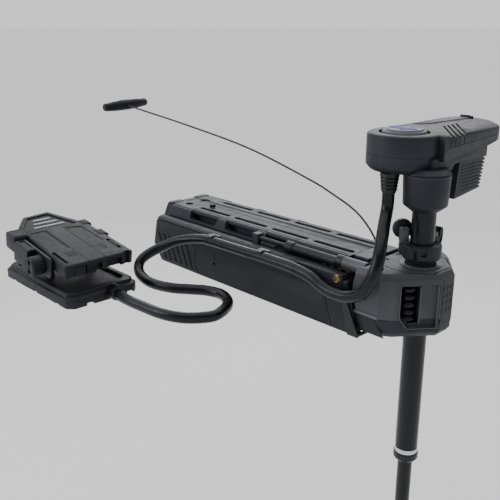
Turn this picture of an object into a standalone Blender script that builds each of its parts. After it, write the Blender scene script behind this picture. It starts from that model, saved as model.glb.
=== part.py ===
"""Bow-mount trolling motor with its foot pedal, cable and pull rope.

Frame: metres, +Z up. The origin is on the flat underside of the base, which stands on the
deck plane z = 0. +X points over the bow, towards the shaft, and the pedal stands on the -Y side.
"""

from math import cos, pi, radians, sin

import bmesh
import bpy
import numpy as np
from mathutils import Matrix, Vector

# ---------------------------------------------------------------- driving dimensions
GAP = 0.0003  # clearance between touching pieces

# base
BASE_REAR_X = -0.330
BASE_FRONT_X = 0.212
BASE_HALF_WIDTH = 0.093
PANEL_INNER_Y = 0.0755
PANEL_TOP_Z = 0.088
PLATE_THICKNESS = 0.005
RAIL_FRONT_X = 0.158
RAIL_HALF_WIDTH = 0.052
RAIL_TOP_Z = 0.115
RAIL_TOP_THICKNESS = 0.009
FLANGE_Z = 0.084
FLANGE_HALF_WIDTH = 0.066
SLOT_LENGTH = 0.086
SLOT_WIDTH = 0.008
SLOT_PITCH = 0.104
SLOT_FIRST_X = -0.204
SLOT_ROW_Y = 0.031

# stow hinge, lift spring
HINGE_X = 0.169
HINGE_Z = 0.0886
HINGE_PIN_RADIUS = 0.005
ARM_INNER_Y = 0.0420
ARM_OUTER_Y = 0.0530
SWEEP_RADIUS = 0.0355  # what stands still inside the yoke stays within this of the hinge
SPRING_Y = -0.0640
SPRING_Z = 0.1045
SPRING_RADIUS = 0.0088

# shaft and yoke
SHAFT_X = 0.261
TUBE_RADIUS = 0.019
TUBE_BORE = 0.0142
TUBE_TOP_Z = 0.2395
TUBE_BOTTOM_Z = -0.218
INNER_RADIUS = 0.0125
YOKE_TOP_Z = 0.115
YOKE_BOTTOM_Z = 0.010
YOKE_BORE = 0.0262
BUSH_BORE = 0.0194
RING_RADIUS = 0.0326

# head
DRUM_X = 0.214
DRUM_RADIUS = 0.0575
HEAD_BOTTOM_Z = 0.262
HEAD_SEAM_Z = 0.288
HEAD_TOP_Z = 0.320
WING_SEAM_Z = 0.299
SKIRT_Z = 0.2717  # underside of the inset skirt that the finned block hangs from
WING_NEAR_X = 0.283
WING_FAR_X = 0.160
DIAL_RADIUS = 0.0345
GEAR_RADIUS = 0.0170
PINION_RADIUS = 0.0065
PINION_X = SHAFT_X - GEAR_RADIUS - PINION_RADIUS - 0.0005

# lower unit
MOTOR_Z = -0.950
MOTOR_RADIUS = 0.046
MOTOR_HALF_LENGTH = 0.105
PROP_RADIUS = 0.135

# pedal
PEDAL_X = -0.335
PEDAL_Y = -0.290
PEDAL_Z = 0.055
PEDAL_TILT = radians(8.5)
TREADLE_TOP = 0.037
TREADLE_THICKNESS = 0.026
TRAY_TOP_Z = 0.026

# cords
CABLE_RADIUS = 0.010
ROPE_RADIUS = 0.0016
DECK_CABLE_ROUTE = [
    (-0.1740, -0.2850, 0.0122), (-0.1480, -0.2850, 0.0112), (-0.1135, -0.2825, 0.0105),
    (-0.0600, -0.2771, 0.0105), (-0.0227, -0.2626, 0.0105), (0.0007, -0.2377, 0.0105),
    (0.0084, -0.2106, 0.0105), (-0.0127, -0.1677, 0.0105), (-0.0520, -0.1464, 0.0105),
    (-0.0873, -0.1530, 0.0105), (-0.1116, -0.1693, 0.0105), (-0.1434, -0.1920, 0.0105),
    (-0.1872, -0.2040, 0.0105), (-0.2280, -0.1990, 0.0130), (-0.2508, -0.1900, 0.0202),
    (-0.2568, -0.1800, 0.0328), (-0.2536, -0.1620, 0.0441), (-0.2397, -0.1420, 0.0559),
    (-0.2157, -0.1240, 0.0697), (-0.1881, -0.1130, 0.0780), (-0.1562, -0.1060, 0.0840),
    (-0.1300, -0.1045, 0.0855), (-0.0630, -0.1045, 0.0865), (0.0030, -0.1045, 0.0880),
    (0.0450, -0.1045, 0.0882), (0.0700, -0.1047, 0.0882), (0.0900, -0.1050, 0.0869),
]
FRONT_CABLE_ROUTE = [
    (0.0908, -0.1050, 0.0868), (0.1060, -0.1053, 0.0852), (0.1269, -0.1060, 0.0815),
    (0.1469, -0.1065, 0.0735), (0.1700, -0.1070, 0.0685), (0.1990, -0.1070, 0.0700),
    (0.2243, -0.1065, 0.0800), (0.2330, -0.1063, 0.0870), (0.2420, -0.1060, 0.1040),
]
HEAD_CABLE_ROUTE = [
    (0.2423, -0.1060, 0.1046), (0.2495, -0.1055, 0.1200), (0.2500, -0.0980, 0.1380),
    (0.2410, -0.0800, 0.1610), (0.2270, -0.0560, 0.1830), (0.2190, -0.0400, 0.2010),
    (0.2180, -0.0370, 0.2150), (0.2180, -0.0370, 0.2288),
]
ROPE_ROUTE = [
    (0.2306, -0.0660, 0.1197), (0.2290, -0.0662, 0.1300), (0.2220, -0.0680, 0.1588),
    (0.2022, -0.0720, 0.1861), (0.1787, -0.0760, 0.2047), (0.1415, -0.0800, 0.2212),
    (0.0980, -0.0850, 0.2376), (-0.0285, -0.1000, 0.2737), (-0.1788, -0.1110, 0.2976),
    (-0.3420, -0.1200, 0.3175), (-0.3589, -0.1209, 0.3196),
]
HANDLE_CENTRE = (-0.3700, -0.1214, 0.3209)
HANDLE_LENGTH = 0.098
HANDLE_RADIUS = 0.0105

# ---------------------------------------------------------------- scene set-up
for old in list(bpy.data.objects):
    bpy.data.objects.remove(old)

parts = bpy.data.collections.new("trolling_motor")
cutters = bpy.data.collections.new("cutters")
bpy.context.scene.collection.children.link(parts)
bpy.context.scene.collection.children.link(cutters)


def material(name, colour, roughness, metallic=0.0):
    made = bpy.data.materials.new(name)
    made.use_nodes = True
    shader = made.node_tree.nodes["Principled BSDF"]
    shader.inputs["Base Color"].default_value = (*colour, 1.0)
    shader.inputs["Roughness"].default_value = roughness
    shader.inputs["Metallic"].default_value = metallic
    return made


CHARCOAL = material("charcoal_plastic", (0.055, 0.056, 0.060), 0.55)
DARK = material("dark_plastic", (0.022, 0.022, 0.024), 0.50)
GREY = material("grey_casting", (0.34, 0.34, 0.35), 0.42, 0.6)
BLACK = material("black_rubber", (0.010, 0.010, 0.011), 0.45)
STEEL = material("steel", (0.60, 0.60, 0.61), 0.25, 1.0)
BRASS = material("brass", (0.60, 0.43, 0.16), 0.35, 1.0)
COMPOSITE = material("shaft_composite", (0.050, 0.051, 0.054), 0.32)
ROPE = material("rope", (0.32, 0.32, 0.33), 0.6)
DIAL = material("dial_grey", (0.42, 0.43, 0.46), 0.35)
BOARD = material("board_green", (0.02, 0.12, 0.05), 0.5)


# ---------------------------------------------------------------- modelling helpers
PLANES = {
    "XY": Matrix.Identity(3),
    "XZ": Matrix(((1, 0, 0), (0, 0, -1), (0, 1, 0))),
    "YZ": Matrix(((0, 0, 1), (1, 0, 0), (0, 1, 0))),
}
AXES = {
    "Z": Matrix.Identity(3),
    "X": Matrix(((0, 0, 1), (0, 1, 0), (-1, 0, 0))),
    "Y": Matrix(((1, 0, 0), (0, 0, 1), (0, -1, 0))),
}


def finish(name, mesh, skin, smooth=True):
    """Link a mesh as a named part with its own material."""
    if smooth:
        mesh.shade_smooth()
        mesh.set_sharp_from_angle(angle=radians(32))
    part = bpy.data.objects.new(name, mesh)
    own = skin.copy()
    own.name = name + "_material"
    mesh.materials.clear()
    mesh.materials.append(own)
    parts.objects.link(part)
    return part


def mesh_of(temporary, weld=0.00001):
    """The evaluated mesh of a temporary object, in world space, with its caps welded."""
    bpy.context.view_layer.update()
    graph = bpy.context.evaluated_depsgraph_get()
    mesh = bpy.data.meshes.new_from_object(temporary.evaluated_get(graph))
    mesh.transform(temporary.matrix_world)
    shape = bmesh.new()
    shape.from_mesh(mesh)
    bmesh.ops.remove_doubles(shape, verts=shape.verts, dist=weld)
    shape.to_mesh(mesh)
    shape.free()
    data = temporary.data
    bpy.data.objects.remove(temporary)
    if isinstance(data, bpy.types.Curve):
        bpy.data.curves.remove(data)
    else:
        bpy.data.meshes.remove(data)
    return mesh


def bevelled(mesh, width, segments=2, angle=30):
    """The same mesh with its sharp edges rounded."""
    temporary = bpy.data.objects.new("temporary", mesh)
    parts.objects.link(temporary)
    rounding = temporary.modifiers.new("rounding", "BEVEL")
    rounding.width = width
    rounding.segments = segments
    rounding.limit_method = "ANGLE"
    rounding.angle_limit = radians(angle)
    return mesh_of(temporary)


def prism_mesh(outline, plane, low, high, bevel=0.0, segments=2):
    """A flat outline drawn in a plane and extruded from low to high along its normal."""
    curve = bpy.data.curves.new("outline", "CURVE")
    curve.dimensions = "2D"
    curve.fill_mode = "BOTH"
    curve.extrude = (high - low) / 2
    spline = curve.splines.new("POLY")
    spline.points.add(len(outline) - 1)
    for point, (a, b) in zip(spline.points, outline):
        point.co = (a, b, 0.0, 1.0)
    spline.use_cyclic_u = True
    drawn = bpy.data.objects.new("outline", curve)
    parts.objects.link(drawn)
    middle = (low + high) / 2
    normal_sign = -1.0 if plane == "XZ" else 1.0
    turn = PLANES[plane]
    drawn.matrix_world = turn.to_4x4() @ Matrix.Translation((0, 0, middle * normal_sign))
    mesh = mesh_of(drawn)
    if bevel:
        mesh = bevelled(mesh, bevel, segments)
    return mesh


def prism(name, outline, plane, low, high, skin, bevel=0.0, segments=2):
    return finish(name, prism_mesh(outline, plane, low, high, bevel, segments), skin)


def box_mesh(low, high, bevel=0.0, segments=2):
    shape = bmesh.new()
    bmesh.ops.create_cube(shape, size=1.0)
    size = [h - l for l, h in zip(low, high)]
    centre = [(h + l) / 2 for l, h in zip(low, high)]
    bmesh.ops.scale(shape, vec=size, verts=shape.verts)
    bmesh.ops.translate(shape, vec=centre, verts=shape.verts)
    mesh = bpy.data.meshes.new("box")
    shape.to_mesh(mesh)
    shape.free()
    if bevel:
        mesh = bevelled(mesh, bevel, segments)
    return mesh


def box(name, low, high, skin, bevel=0.0, segments=2):
    return finish(name, box_mesh(low, high, bevel, segments), skin)


def turned_mesh(profile, centre, axis="Z", steps=24, closed=False):
    """A profile of (radius, height) pairs, listed down its outer side, turned about an axis."""
    shape = bmesh.new()
    points = [shape.verts.new((r, 0.0, h)) for r, h in profile]
    ends = zip(points, points[1:] + points[:1]) if closed else zip(points, points[1:])
    for a, b in ends:
        shape.edges.new((a, b))
    mesh = bpy.data.meshes.new("profile")
    shape.to_mesh(mesh)
    shape.free()
    temporary = bpy.data.objects.new("profile", mesh)
    parts.objects.link(temporary)
    screw = temporary.modifiers.new("screw", "SCREW")
    screw.steps = steps
    screw.render_steps = steps
    screw.use_merge_vertices = True
    screw.merge_threshold = 0.00005
    temporary.matrix_world = Matrix.Translation(centre) @ AXES[axis].to_4x4()
    return mesh_of(temporary)


def turned(name, profile, centre, skin, axis="Z", steps=24, closed=False):
    return finish(name, turned_mesh(profile, centre, axis, steps, closed), skin)


def rod_mesh(radius, low, high, centre, axis="Z", steps=24):
    profile = [(0, high), (radius, high), (radius, low), (0, low)]
    return turned_mesh(profile, centre, axis, steps)


def rod(name, radius, low, high, centre, skin, axis="Z", steps=24, chamfer=0.0):
    profile = [(0, high), (radius - chamfer, high), (radius, high - chamfer),
               (radius, low + chamfer), (radius - chamfer, low), (0, low)]
    if not chamfer:
        profile = [(0, high), (radius, high), (radius, low), (0, low)]
    return turned(name, profile, centre, skin, axis, steps)


def tube(name, outer, bore, low, high, centre, skin, axis="Z", steps=24):
    profile = [(bore, high), (outer, high), (outer, low), (bore, low)]
    return turned(name, profile, centre, skin, axis, steps, closed=True)


def combine(part, mesh, operation):
    """Cut a closed mesh from a part, or join it to the part."""
    tool = bpy.data.objects.new(part.name + "_" + operation.lower(), mesh)
    tool.hide_render = True
    tool.display_type = "WIRE"
    cutters.objects.link(tool)
    change = part.modifiers.new(operation.lower(), "BOOLEAN")
    change.operation = operation
    change.object = tool
    change.solver = "EXACT"


def cut(part, mesh):
    combine(part, mesh, "DIFFERENCE")


def join(part, mesh):
    combine(part, mesh, "UNION")


def arc(centre, radius, start, end, count):
    """Points on an arc, angles in degrees."""
    angles = [radians(start + (end - start) * i / (count - 1)) for i in range(count)]
    return [(centre[0] + radius * cos(a), centre[1] + radius * sin(a)) for a in angles]


def mirrored(outline):
    """The same outline with its second coordinate reversed."""
    return [(a, -b) for a, b in reversed(outline)]


def smooth_route(points, spacing):
    """Evenly spaced points on a smooth curve through the route's own points."""
    route = np.array(points)
    padded = np.vstack([2 * route[0] - route[1], route, 2 * route[-1] - route[-2]])
    fine = []
    for i in range(1, len(padded) - 2):
        before, start, end, after = padded[i - 1:i + 3]
        for t in np.linspace(0, 1, 16, endpoint=False):
            fine.append(0.5 * (2 * start + (end - before) * t
                               + (2 * before - 5 * start + 4 * end - after) * t ** 2
                               + (3 * start - before - 3 * end + after) * t ** 3))
    fine.append(route[-1])
    fine = np.array(fine)
    steps = np.linalg.norm(np.diff(fine, axis=0), axis=1)
    run = np.concatenate([[0], np.cumsum(steps)])
    count = max(4, round(run[-1] / spacing) + 1)
    wanted = np.linspace(0, run[-1], count)
    return np.stack([np.interp(wanted, run, fine[:, k]) for k in range(3)], axis=1)


def cord(name, points, radius, skin, resolution=2):
    curve = bpy.data.curves.new(name, "CURVE")
    curve.dimensions = "3D"
    curve.bevel_depth = radius
    curve.bevel_resolution = resolution
    curve.use_fill_caps = True
    spline = curve.splines.new("POLY")
    spline.points.add(len(points) - 1)
    for point, place in zip(spline.points, points):
        point.co = (*place, 1.0)
    drawn = bpy.data.objects.new(name, curve)
    parts.objects.link(drawn)
    return finish(name, mesh_of(drawn), skin)


# ---------------------------------------------------------------- base
def make_base():
    plate = box("base_plate", (-0.300, -0.0665, 0.0), (0.200, 0.0665, PLATE_THICKNESS),
                DARK, 0.001, 1)
    for x in (-0.26, -0.05, 0.16):
        for side in (-1, 1):
            cut(plate, rod_mesh(0.0035, -0.01, 0.02, (x, side * 0.0585, 0), steps=12))

    floor_z = PLATE_THICKNESS + GAP
    under_top = RAIL_TOP_Z - RAIL_TOP_THICKNESS
    right = [(0.036, floor_z), (0.041, floor_z), (0.041, FLANGE_Z), (FLANGE_HALF_WIDTH, FLANGE_Z),
             (FLANGE_HALF_WIDTH, FLANGE_Z + 0.008), (0.041, FLANGE_Z + 0.0086),
             (0.041, under_top - 0.0006), (RAIL_HALF_WIDTH, under_top), (RAIL_HALF_WIDTH, RAIL_TOP_Z - 0.002),
             (RAIL_HALF_WIDTH - 0.002, RAIL_TOP_Z)]
    inside = [(-0.036, under_top - 0.004), (0.036, under_top - 0.004)]
    left = [(-a, b) for a, b in reversed(right)]
    rail = prism("base_rail", right + left + inside, "YZ", BASE_REAR_X + 0.012, RAIL_FRONT_X, GREY)
    for row in (-1, 1):
        for i in range(4):
            x = SLOT_FIRST_X + i * SLOT_PITCH
            half = SLOT_LENGTH / 2
            y = row * SLOT_ROW_Y
            cut(rail, box_mesh((x - half, y - SLOT_WIDTH / 2, 0.09),
                               (x + half, y + SLOT_WIDTH / 2, 0.13)))

    for side in (-1, 1):
        low, high = sorted((side * 0.0392, side * 0.0800))
        cut(rail, box_mesh((0.1505, low, -0.01), (0.1700, high, under_top + 0.0012)))

    cap_outline = [(-0.062, 0.030), (0.062, 0.030), (0.0645, FLANGE_Z + 0.006),
                   (0.052, RAIL_TOP_Z + 0.001), (-0.052, RAIL_TOP_Z + 0.001),
                   (-0.0645, FLANGE_Z + 0.006)]
    prism("rail_end_cap", cap_outline, "YZ", BASE_REAR_X - 0.004, BASE_REAR_X + 0.012 - GAP,
          GREY, 0.003)

    for side, tag in ((-1, "near"), (1, "far")):
        boss = arc((HINGE_X, HINGE_Z), 0.019, 130, 20, 6)
        outline = [(-0.310, 0.0), (BASE_FRONT_X, 0.0), (0.2005, 0.050), (0.1915, 0.080),
                   *reversed(boss), (0.100, PANEL_TOP_Z), (-0.322, PANEL_TOP_Z), (-0.334, 0.034)]
        low, high = sorted((side * PANEL_INNER_Y, side * BASE_HALF_WIDTH))
        panel = prism("side_panel_" + tag, outline, "XZ", low, high, CHARCOAL, 0.0025)
        cut(panel, rod_mesh(HINGE_PIN_RADIUS + GAP, -0.03, 0.03,
                            (HINGE_X, side * 0.0842, HINGE_Z), "Y", 20))

    # one strip wraps both front corners of the base and crosses low in front of the panels
    bumper_side = [(0.1825, 0.0535), (0.1925, 0.0560), (0.2170, 0.0062), (0.2170, 0.0008),
                   (0.1960, 0.0008)]
    outer = BASE_HALF_WIDTH + GAP
    bumper = prism("front_bumper", bumper_side, "XZ", -outer - 0.003, -outer, BLACK)
    join(bumper, prism_mesh(bumper_side, "XZ", outer, outer + 0.003))
    join(bumper, box_mesh((BASE_FRONT_X + GAP, -outer - 0.0020, 0.0012),
                          (0.2160, outer + 0.0020, 0.0058)))

    block = [(0.1583, floor_z), (0.1800, floor_z), (0.1860, 0.058), (0.1900, 0.070),
             (0.1900, RAIL_TOP_Z), (0.1583, RAIL_TOP_Z)]
    hinge_block = prism("hinge_block", block, "XZ", -0.0410, 0.0410, GREY, 0.0015)
    cut(hinge_block, rod_mesh(HINGE_PIN_RADIUS + GAP, -0.06, 0.06, (HINGE_X, 0, HINGE_Z), "Y", 20))
    rod("hinge_pin", HINGE_PIN_RADIUS, -BASE_HALF_WIDTH - 0.001, BASE_HALF_WIDTH + 0.001,
        (HINGE_X, 0, HINGE_Z), BRASS, "Y", 24, 0.0006)


def make_lift_spring():
    centre = (0, SPRING_Y, SPRING_Z)
    rod("lift_spring_rod", 0.0038, -0.0390, 0.0900, centre, STEEL, "X", 16)
    box("spring_anchor", (-0.0550, -0.0700, FLANGE_Z + 0.008 + GAP), (-0.0395, -0.0545, 0.1120),
        GREY, 0.0012, 1)
    cylinder = [(0.0044, 0.1450), (SPRING_RADIUS, 0.1450), (SPRING_RADIUS, 0.0480),
                (0.0105, 0.0470), (0.0105, 0.0300), (0.0095, 0.0290), (0.0044, 0.0290)]
    turned("lift_spring_cylinder", cylinder, centre, DARK, "X", 24, closed=True)
    socket = [(0.0, 0.1900), (0.0080, 0.1900), (0.0082, 0.2055), (0.0100, 0.2055),
              (0.0105, 0.2040), (0.0105, 0.1600), (0.0098, 0.1592), (0.0098, 0.1465),
              (0.0092, 0.1455), (0.0, 0.1455)]
    turned("lift_spring_socket", socket, (0, SPRING_Y, SPRING_Z + 0.0025), GREY, "X", 24)


def make_clips():
    """Open hooks on the near panel that hold the cable."""
    for tag, x, z in (("rear", -0.130, 0.0855), ("front", 0.003, 0.0880)):
        centre = (-0.1045, z)
        outer = arc(centre, 0.0135, -70, 200, 16)
        inner = arc(centre, 0.0107, 200, -70, 16)
        clip = prism("cable_clip_" + tag, outer + inner, "YZ", x - 0.006, x + 0.006, CHARCOAL)
        cut(clip, box_mesh((x - 0.02, -BASE_HALF_WIDTH - GAP, z - 0.03),
                           (x + 0.02, -0.05, PANEL_TOP_Z + GAP)))


# ---------------------------------------------------------------- yoke
def yoke_half(z_inset=0.0):
    """Near half of the yoke's plan outline, from the rear to the nose."""
    return [(0.2480, -0.0880 + z_inset), (0.2670 - z_inset / 2, -0.0760 + z_inset),
            (0.3140 - z_inset, -0.0170 + z_inset / 2)]


def make_yoke():
    near = yoke_half()
    outline = [(0.1960, -0.0880), *near, *mirrored(near), (0.1960, 0.0880)]
    housing = prism("yoke_housing", outline, "XY", 0.0405, YOKE_TOP_Z, CHARCOAL, 0.0055, 2)
    rear = [(0.150, 0.0), (0.2150, 0.0), (0.2035, 0.050), (0.1945, 0.079), (0.2010, 0.104),
            (0.2010, 0.150), (0.150, 0.150)]
    cut(housing, prism_mesh(rear, "XZ", -0.12, 0.12))
    cut(housing, rod_mesh(SWEEP_RADIUS, -0.054, 0.054, (HINGE_X, 0, HINGE_Z), "Y", 32))
    cut(housing, box_mesh((0.19, SPRING_Y - 0.0125, 0.085), (0.2090, SPRING_Y + 0.0125, 0.13)))
    cut(housing, rod_mesh(YOKE_BORE, -0.01, 0.13, (SHAFT_X, 0, 0), steps=32))

    # window in the near chamfer face, looking in on the guide coil
    foot = Vector((0.267, -0.076, 0.0))
    along = (Vector((0.314, -0.017, 0.0)) - foot).normalized()
    inward = Vector((-along.y, along.x, 0.0))
    turn = Matrix((along, inward, Vector((0, 0, 1)))).transposed().to_4x4()
    window = prism_mesh([(0.0140, 0.0470), (0.0280, 0.0300), (0.0710, 0.0300), (0.0710, 0.0960),
                         (0.0140, 0.0960)], "XZ", -0.02, 0.040)
    window.transform(Matrix.Translation(foot) @ turn)
    cut(housing, window)
    arm_outline = [(0.2120, 0.0735), (0.2120, 0.1040), *arc((HINGE_X, HINGE_Z), 0.0155, 90, 270, 9)]
    for side in (-1, 1):
        low, high = sorted((side * ARM_INNER_Y, side * ARM_OUTER_Y))
        arm = prism_mesh(arm_outline, "XZ", low, high)
        join(housing, arm)
        cut(housing, rod_mesh(HINGE_PIN_RADIUS + GAP, -0.02, 0.02,
                              (HINGE_X, side * 0.0475, HINGE_Z), "Y", 20))

    # lower cover, a darker moulding under the housing
    near_low = [(a - 0.002, b + 0.001) for a, b in near]
    cover_outline = [(0.1990, -0.0870), *near_low, *mirrored(near_low), (0.1990, 0.0870)]
    cover = prism("yoke_lower_cover", cover_outline, "XY", YOKE_BOTTOM_Z, 0.0405 - GAP, DARK,
                  0.0030, 1)
    cut(cover, prism_mesh(rear, "XZ", -0.12, 0.12))
    cut(cover, rod_mesh(YOKE_BORE, -0.01, 0.13, (SHAFT_X, 0, 0), steps=32))
    low_window = prism_mesh([(0.0230, 0.0420), (0.0300, 0.0260), (0.0690, 0.0260),
                             (0.0690, 0.0450)], "XZ", -0.02, 0.040)
    low_window.transform(Matrix.Translation(foot) @ turn)
    cut(cover, low_window)

    # stepped ring round the shaft opening
    ring = [(0.0248, YOKE_TOP_Z + 0.0030), (0.0290, YOKE_TOP_Z + 0.0030),
            (0.0298, YOKE_TOP_Z + 0.0016), (RING_RADIUS, YOKE_TOP_Z + 0.0016),
            (RING_RADIUS, YOKE_TOP_Z + GAP), (0.0248, YOKE_TOP_Z + GAP)]
    turned("yoke_ring", ring, (SHAFT_X, 0, 0), GREY, steps=32, closed=True)
    bush = YOKE_BORE - GAP
    tube("upper_bushing", bush, BUSH_BORE, 0.0980, 0.1120, (SHAFT_X, 0, 0), BLACK)
    tube("lower_bushing", bush, BUSH_BORE, 0.0120, 0.0240, (SHAFT_X, 0, 0), BLACK)

    turns = 7
    per_turn = 10
    coil = []
    for i in range(turns * per_turn + 1):
        angle = 2 * pi * i / per_turn
        z = 0.0285 + (0.0940 - 0.0285) * i / (turns * per_turn)
        coil.append((SHAFT_X + 0.0222 * cos(angle), 0.0222 * sin(angle), z))
    cord("guide_coil", coil, 0.0021, BLACK, 1)

    guide = [(0.0022, 0.1190), (0.0050, 0.1190), (0.0060, 0.1175), (0.0060, YOKE_TOP_Z + GAP),
             (0.0022, YOKE_TOP_Z + GAP)]
    turned("rope_guide", guide, (0.2306, -0.0660, 0), BLACK, steps=20, closed=True)


# ---------------------------------------------------------------- shaft, collar and head
def make_column():
    axis = (SHAFT_X, 0, 0)
    tube("outer_tube", TUBE_RADIUS, TUBE_BORE, TUBE_BOTTOM_Z, TUBE_TOP_Z, axis, COMPOSITE)
    tube("tube_end_ring", 0.0197, 0.0136, -0.2262, TUBE_BOTTOM_Z - GAP, axis, STEEL)
    seal = [(0.0136, -0.2265), (0.0205, -0.2265), (0.0212, -0.2290), (0.0212, -0.2375),
            (0.0180, -0.2420), (0.0136, -0.2420)]
    turned("tube_end_seal", seal, axis, BLACK, closed=True)

    collar_profile = [(TUBE_RADIUS + GAP, 0.1500), (0.0300, 0.1500), (0.0312, 0.1485),
                      (0.0312, 0.1300), (0.0285, 0.1262), (0.0236, 0.1255), (0.0236, 0.1125),
                      (TUBE_RADIUS + GAP, 0.1125)]
    collar = turned("depth_collar", collar_profile, axis, CHARCOAL, steps=28, closed=True)
    knob_turn = Matrix.Translation(axis) @ Matrix.Rotation(radians(46.75), 4, "Z")
    ear = box_mesh((-0.0345, 0.0, 0.1290), (-0.0205, 0.0168, 0.1735), 0.002, 1)
    ear.transform(knob_turn)
    lug = box_mesh((-0.0075, 0.0250, 0.1300), (0.0075, 0.0360, 0.1560), 0.0015, 1)
    lug.transform(Matrix.Translation(axis))
    join(collar, ear)
    join(collar, lug)
    knob_centre = (-0.0270, 0, 0.1670)
    stud = rod_mesh(0.0038, 0.0040, 0.030, knob_centre, "Y", 16)
    stud.transform(knob_turn)
    cut(collar, stud)

    knob = turned_mesh([(0.0, 0.0045), (0.0035, 0.0045), (0.0035, 0.0171), (0.0120, 0.0171),
                        (0.0145, 0.0190), (0.0163, 0.0215), (0.0163, 0.0280), (0.0145, 0.0300),
                        (0.0, 0.0300)][::-1], knob_centre, "Y", 24)
    knob.transform(knob_turn)
    finish("depth_knob", knob, CHARCOAL)

    lever_outline = [(0.0365, 0.1500), (0.0400, 0.1680), (0.0440, 0.1690), (0.0480, 0.1640),
                     (0.0485, 0.1500), (0.0450, 0.1400), (0.0425, 0.1405), (0.0448, 0.1505),
                     (0.0440, 0.1590), (0.0415, 0.1500), (0.0395, 0.1440), (0.0365, 0.1420)]
    prism("collar_lever", lever_outline, "YZ", SHAFT_X - 0.007, SHAFT_X + 0.007, CHARCOAL, 0.0006, 1)

    neck_profile = [(0.0325, HEAD_BOTTOM_Z - GAP), (0.0368, HEAD_BOTTOM_Z - GAP), (0.0345, 0.2130),
                    (0.0208, 0.2025), (TUBE_RADIUS + GAP, 0.2025), (TUBE_RADIUS + GAP, 0.2400),
                    (0.0325, 0.2400)]
    turned("head_neck", neck_profile, axis, CHARCOAL, steps=36, closed=True)


def wing_outline(inset=0.0):
    """Plan outline of the wing, which starts inside the drum and reaches towards +Y."""
    near = WING_NEAR_X - inset
    far = WING_FAR_X + inset
    return [(DRUM_X, 0.0072 + inset), (near, 0.0075 + inset), (near, 0.158),
            (near - 0.010, 0.186 - inset / 2), (near - 0.038, 0.216 - inset),
            (near - 0.074, 0.233 - inset), (far + 0.025, 0.234 - inset),
            (far + 0.006, 0.220 - inset), (far, 0.195), (far, 0.0210)]


def head_seam(lift, beyond):
    """Section of all that lies beyond the seam, which steps up from the drum to the wing."""
    return [(-0.10, HEAD_SEAM_Z + lift), (0.0060, HEAD_SEAM_Z + lift), (0.0120, WING_SEAM_Z + lift),
            (0.26, WING_SEAM_Z + 0.0113 + lift), (0.26, beyond), (-0.10, beyond)]


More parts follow.
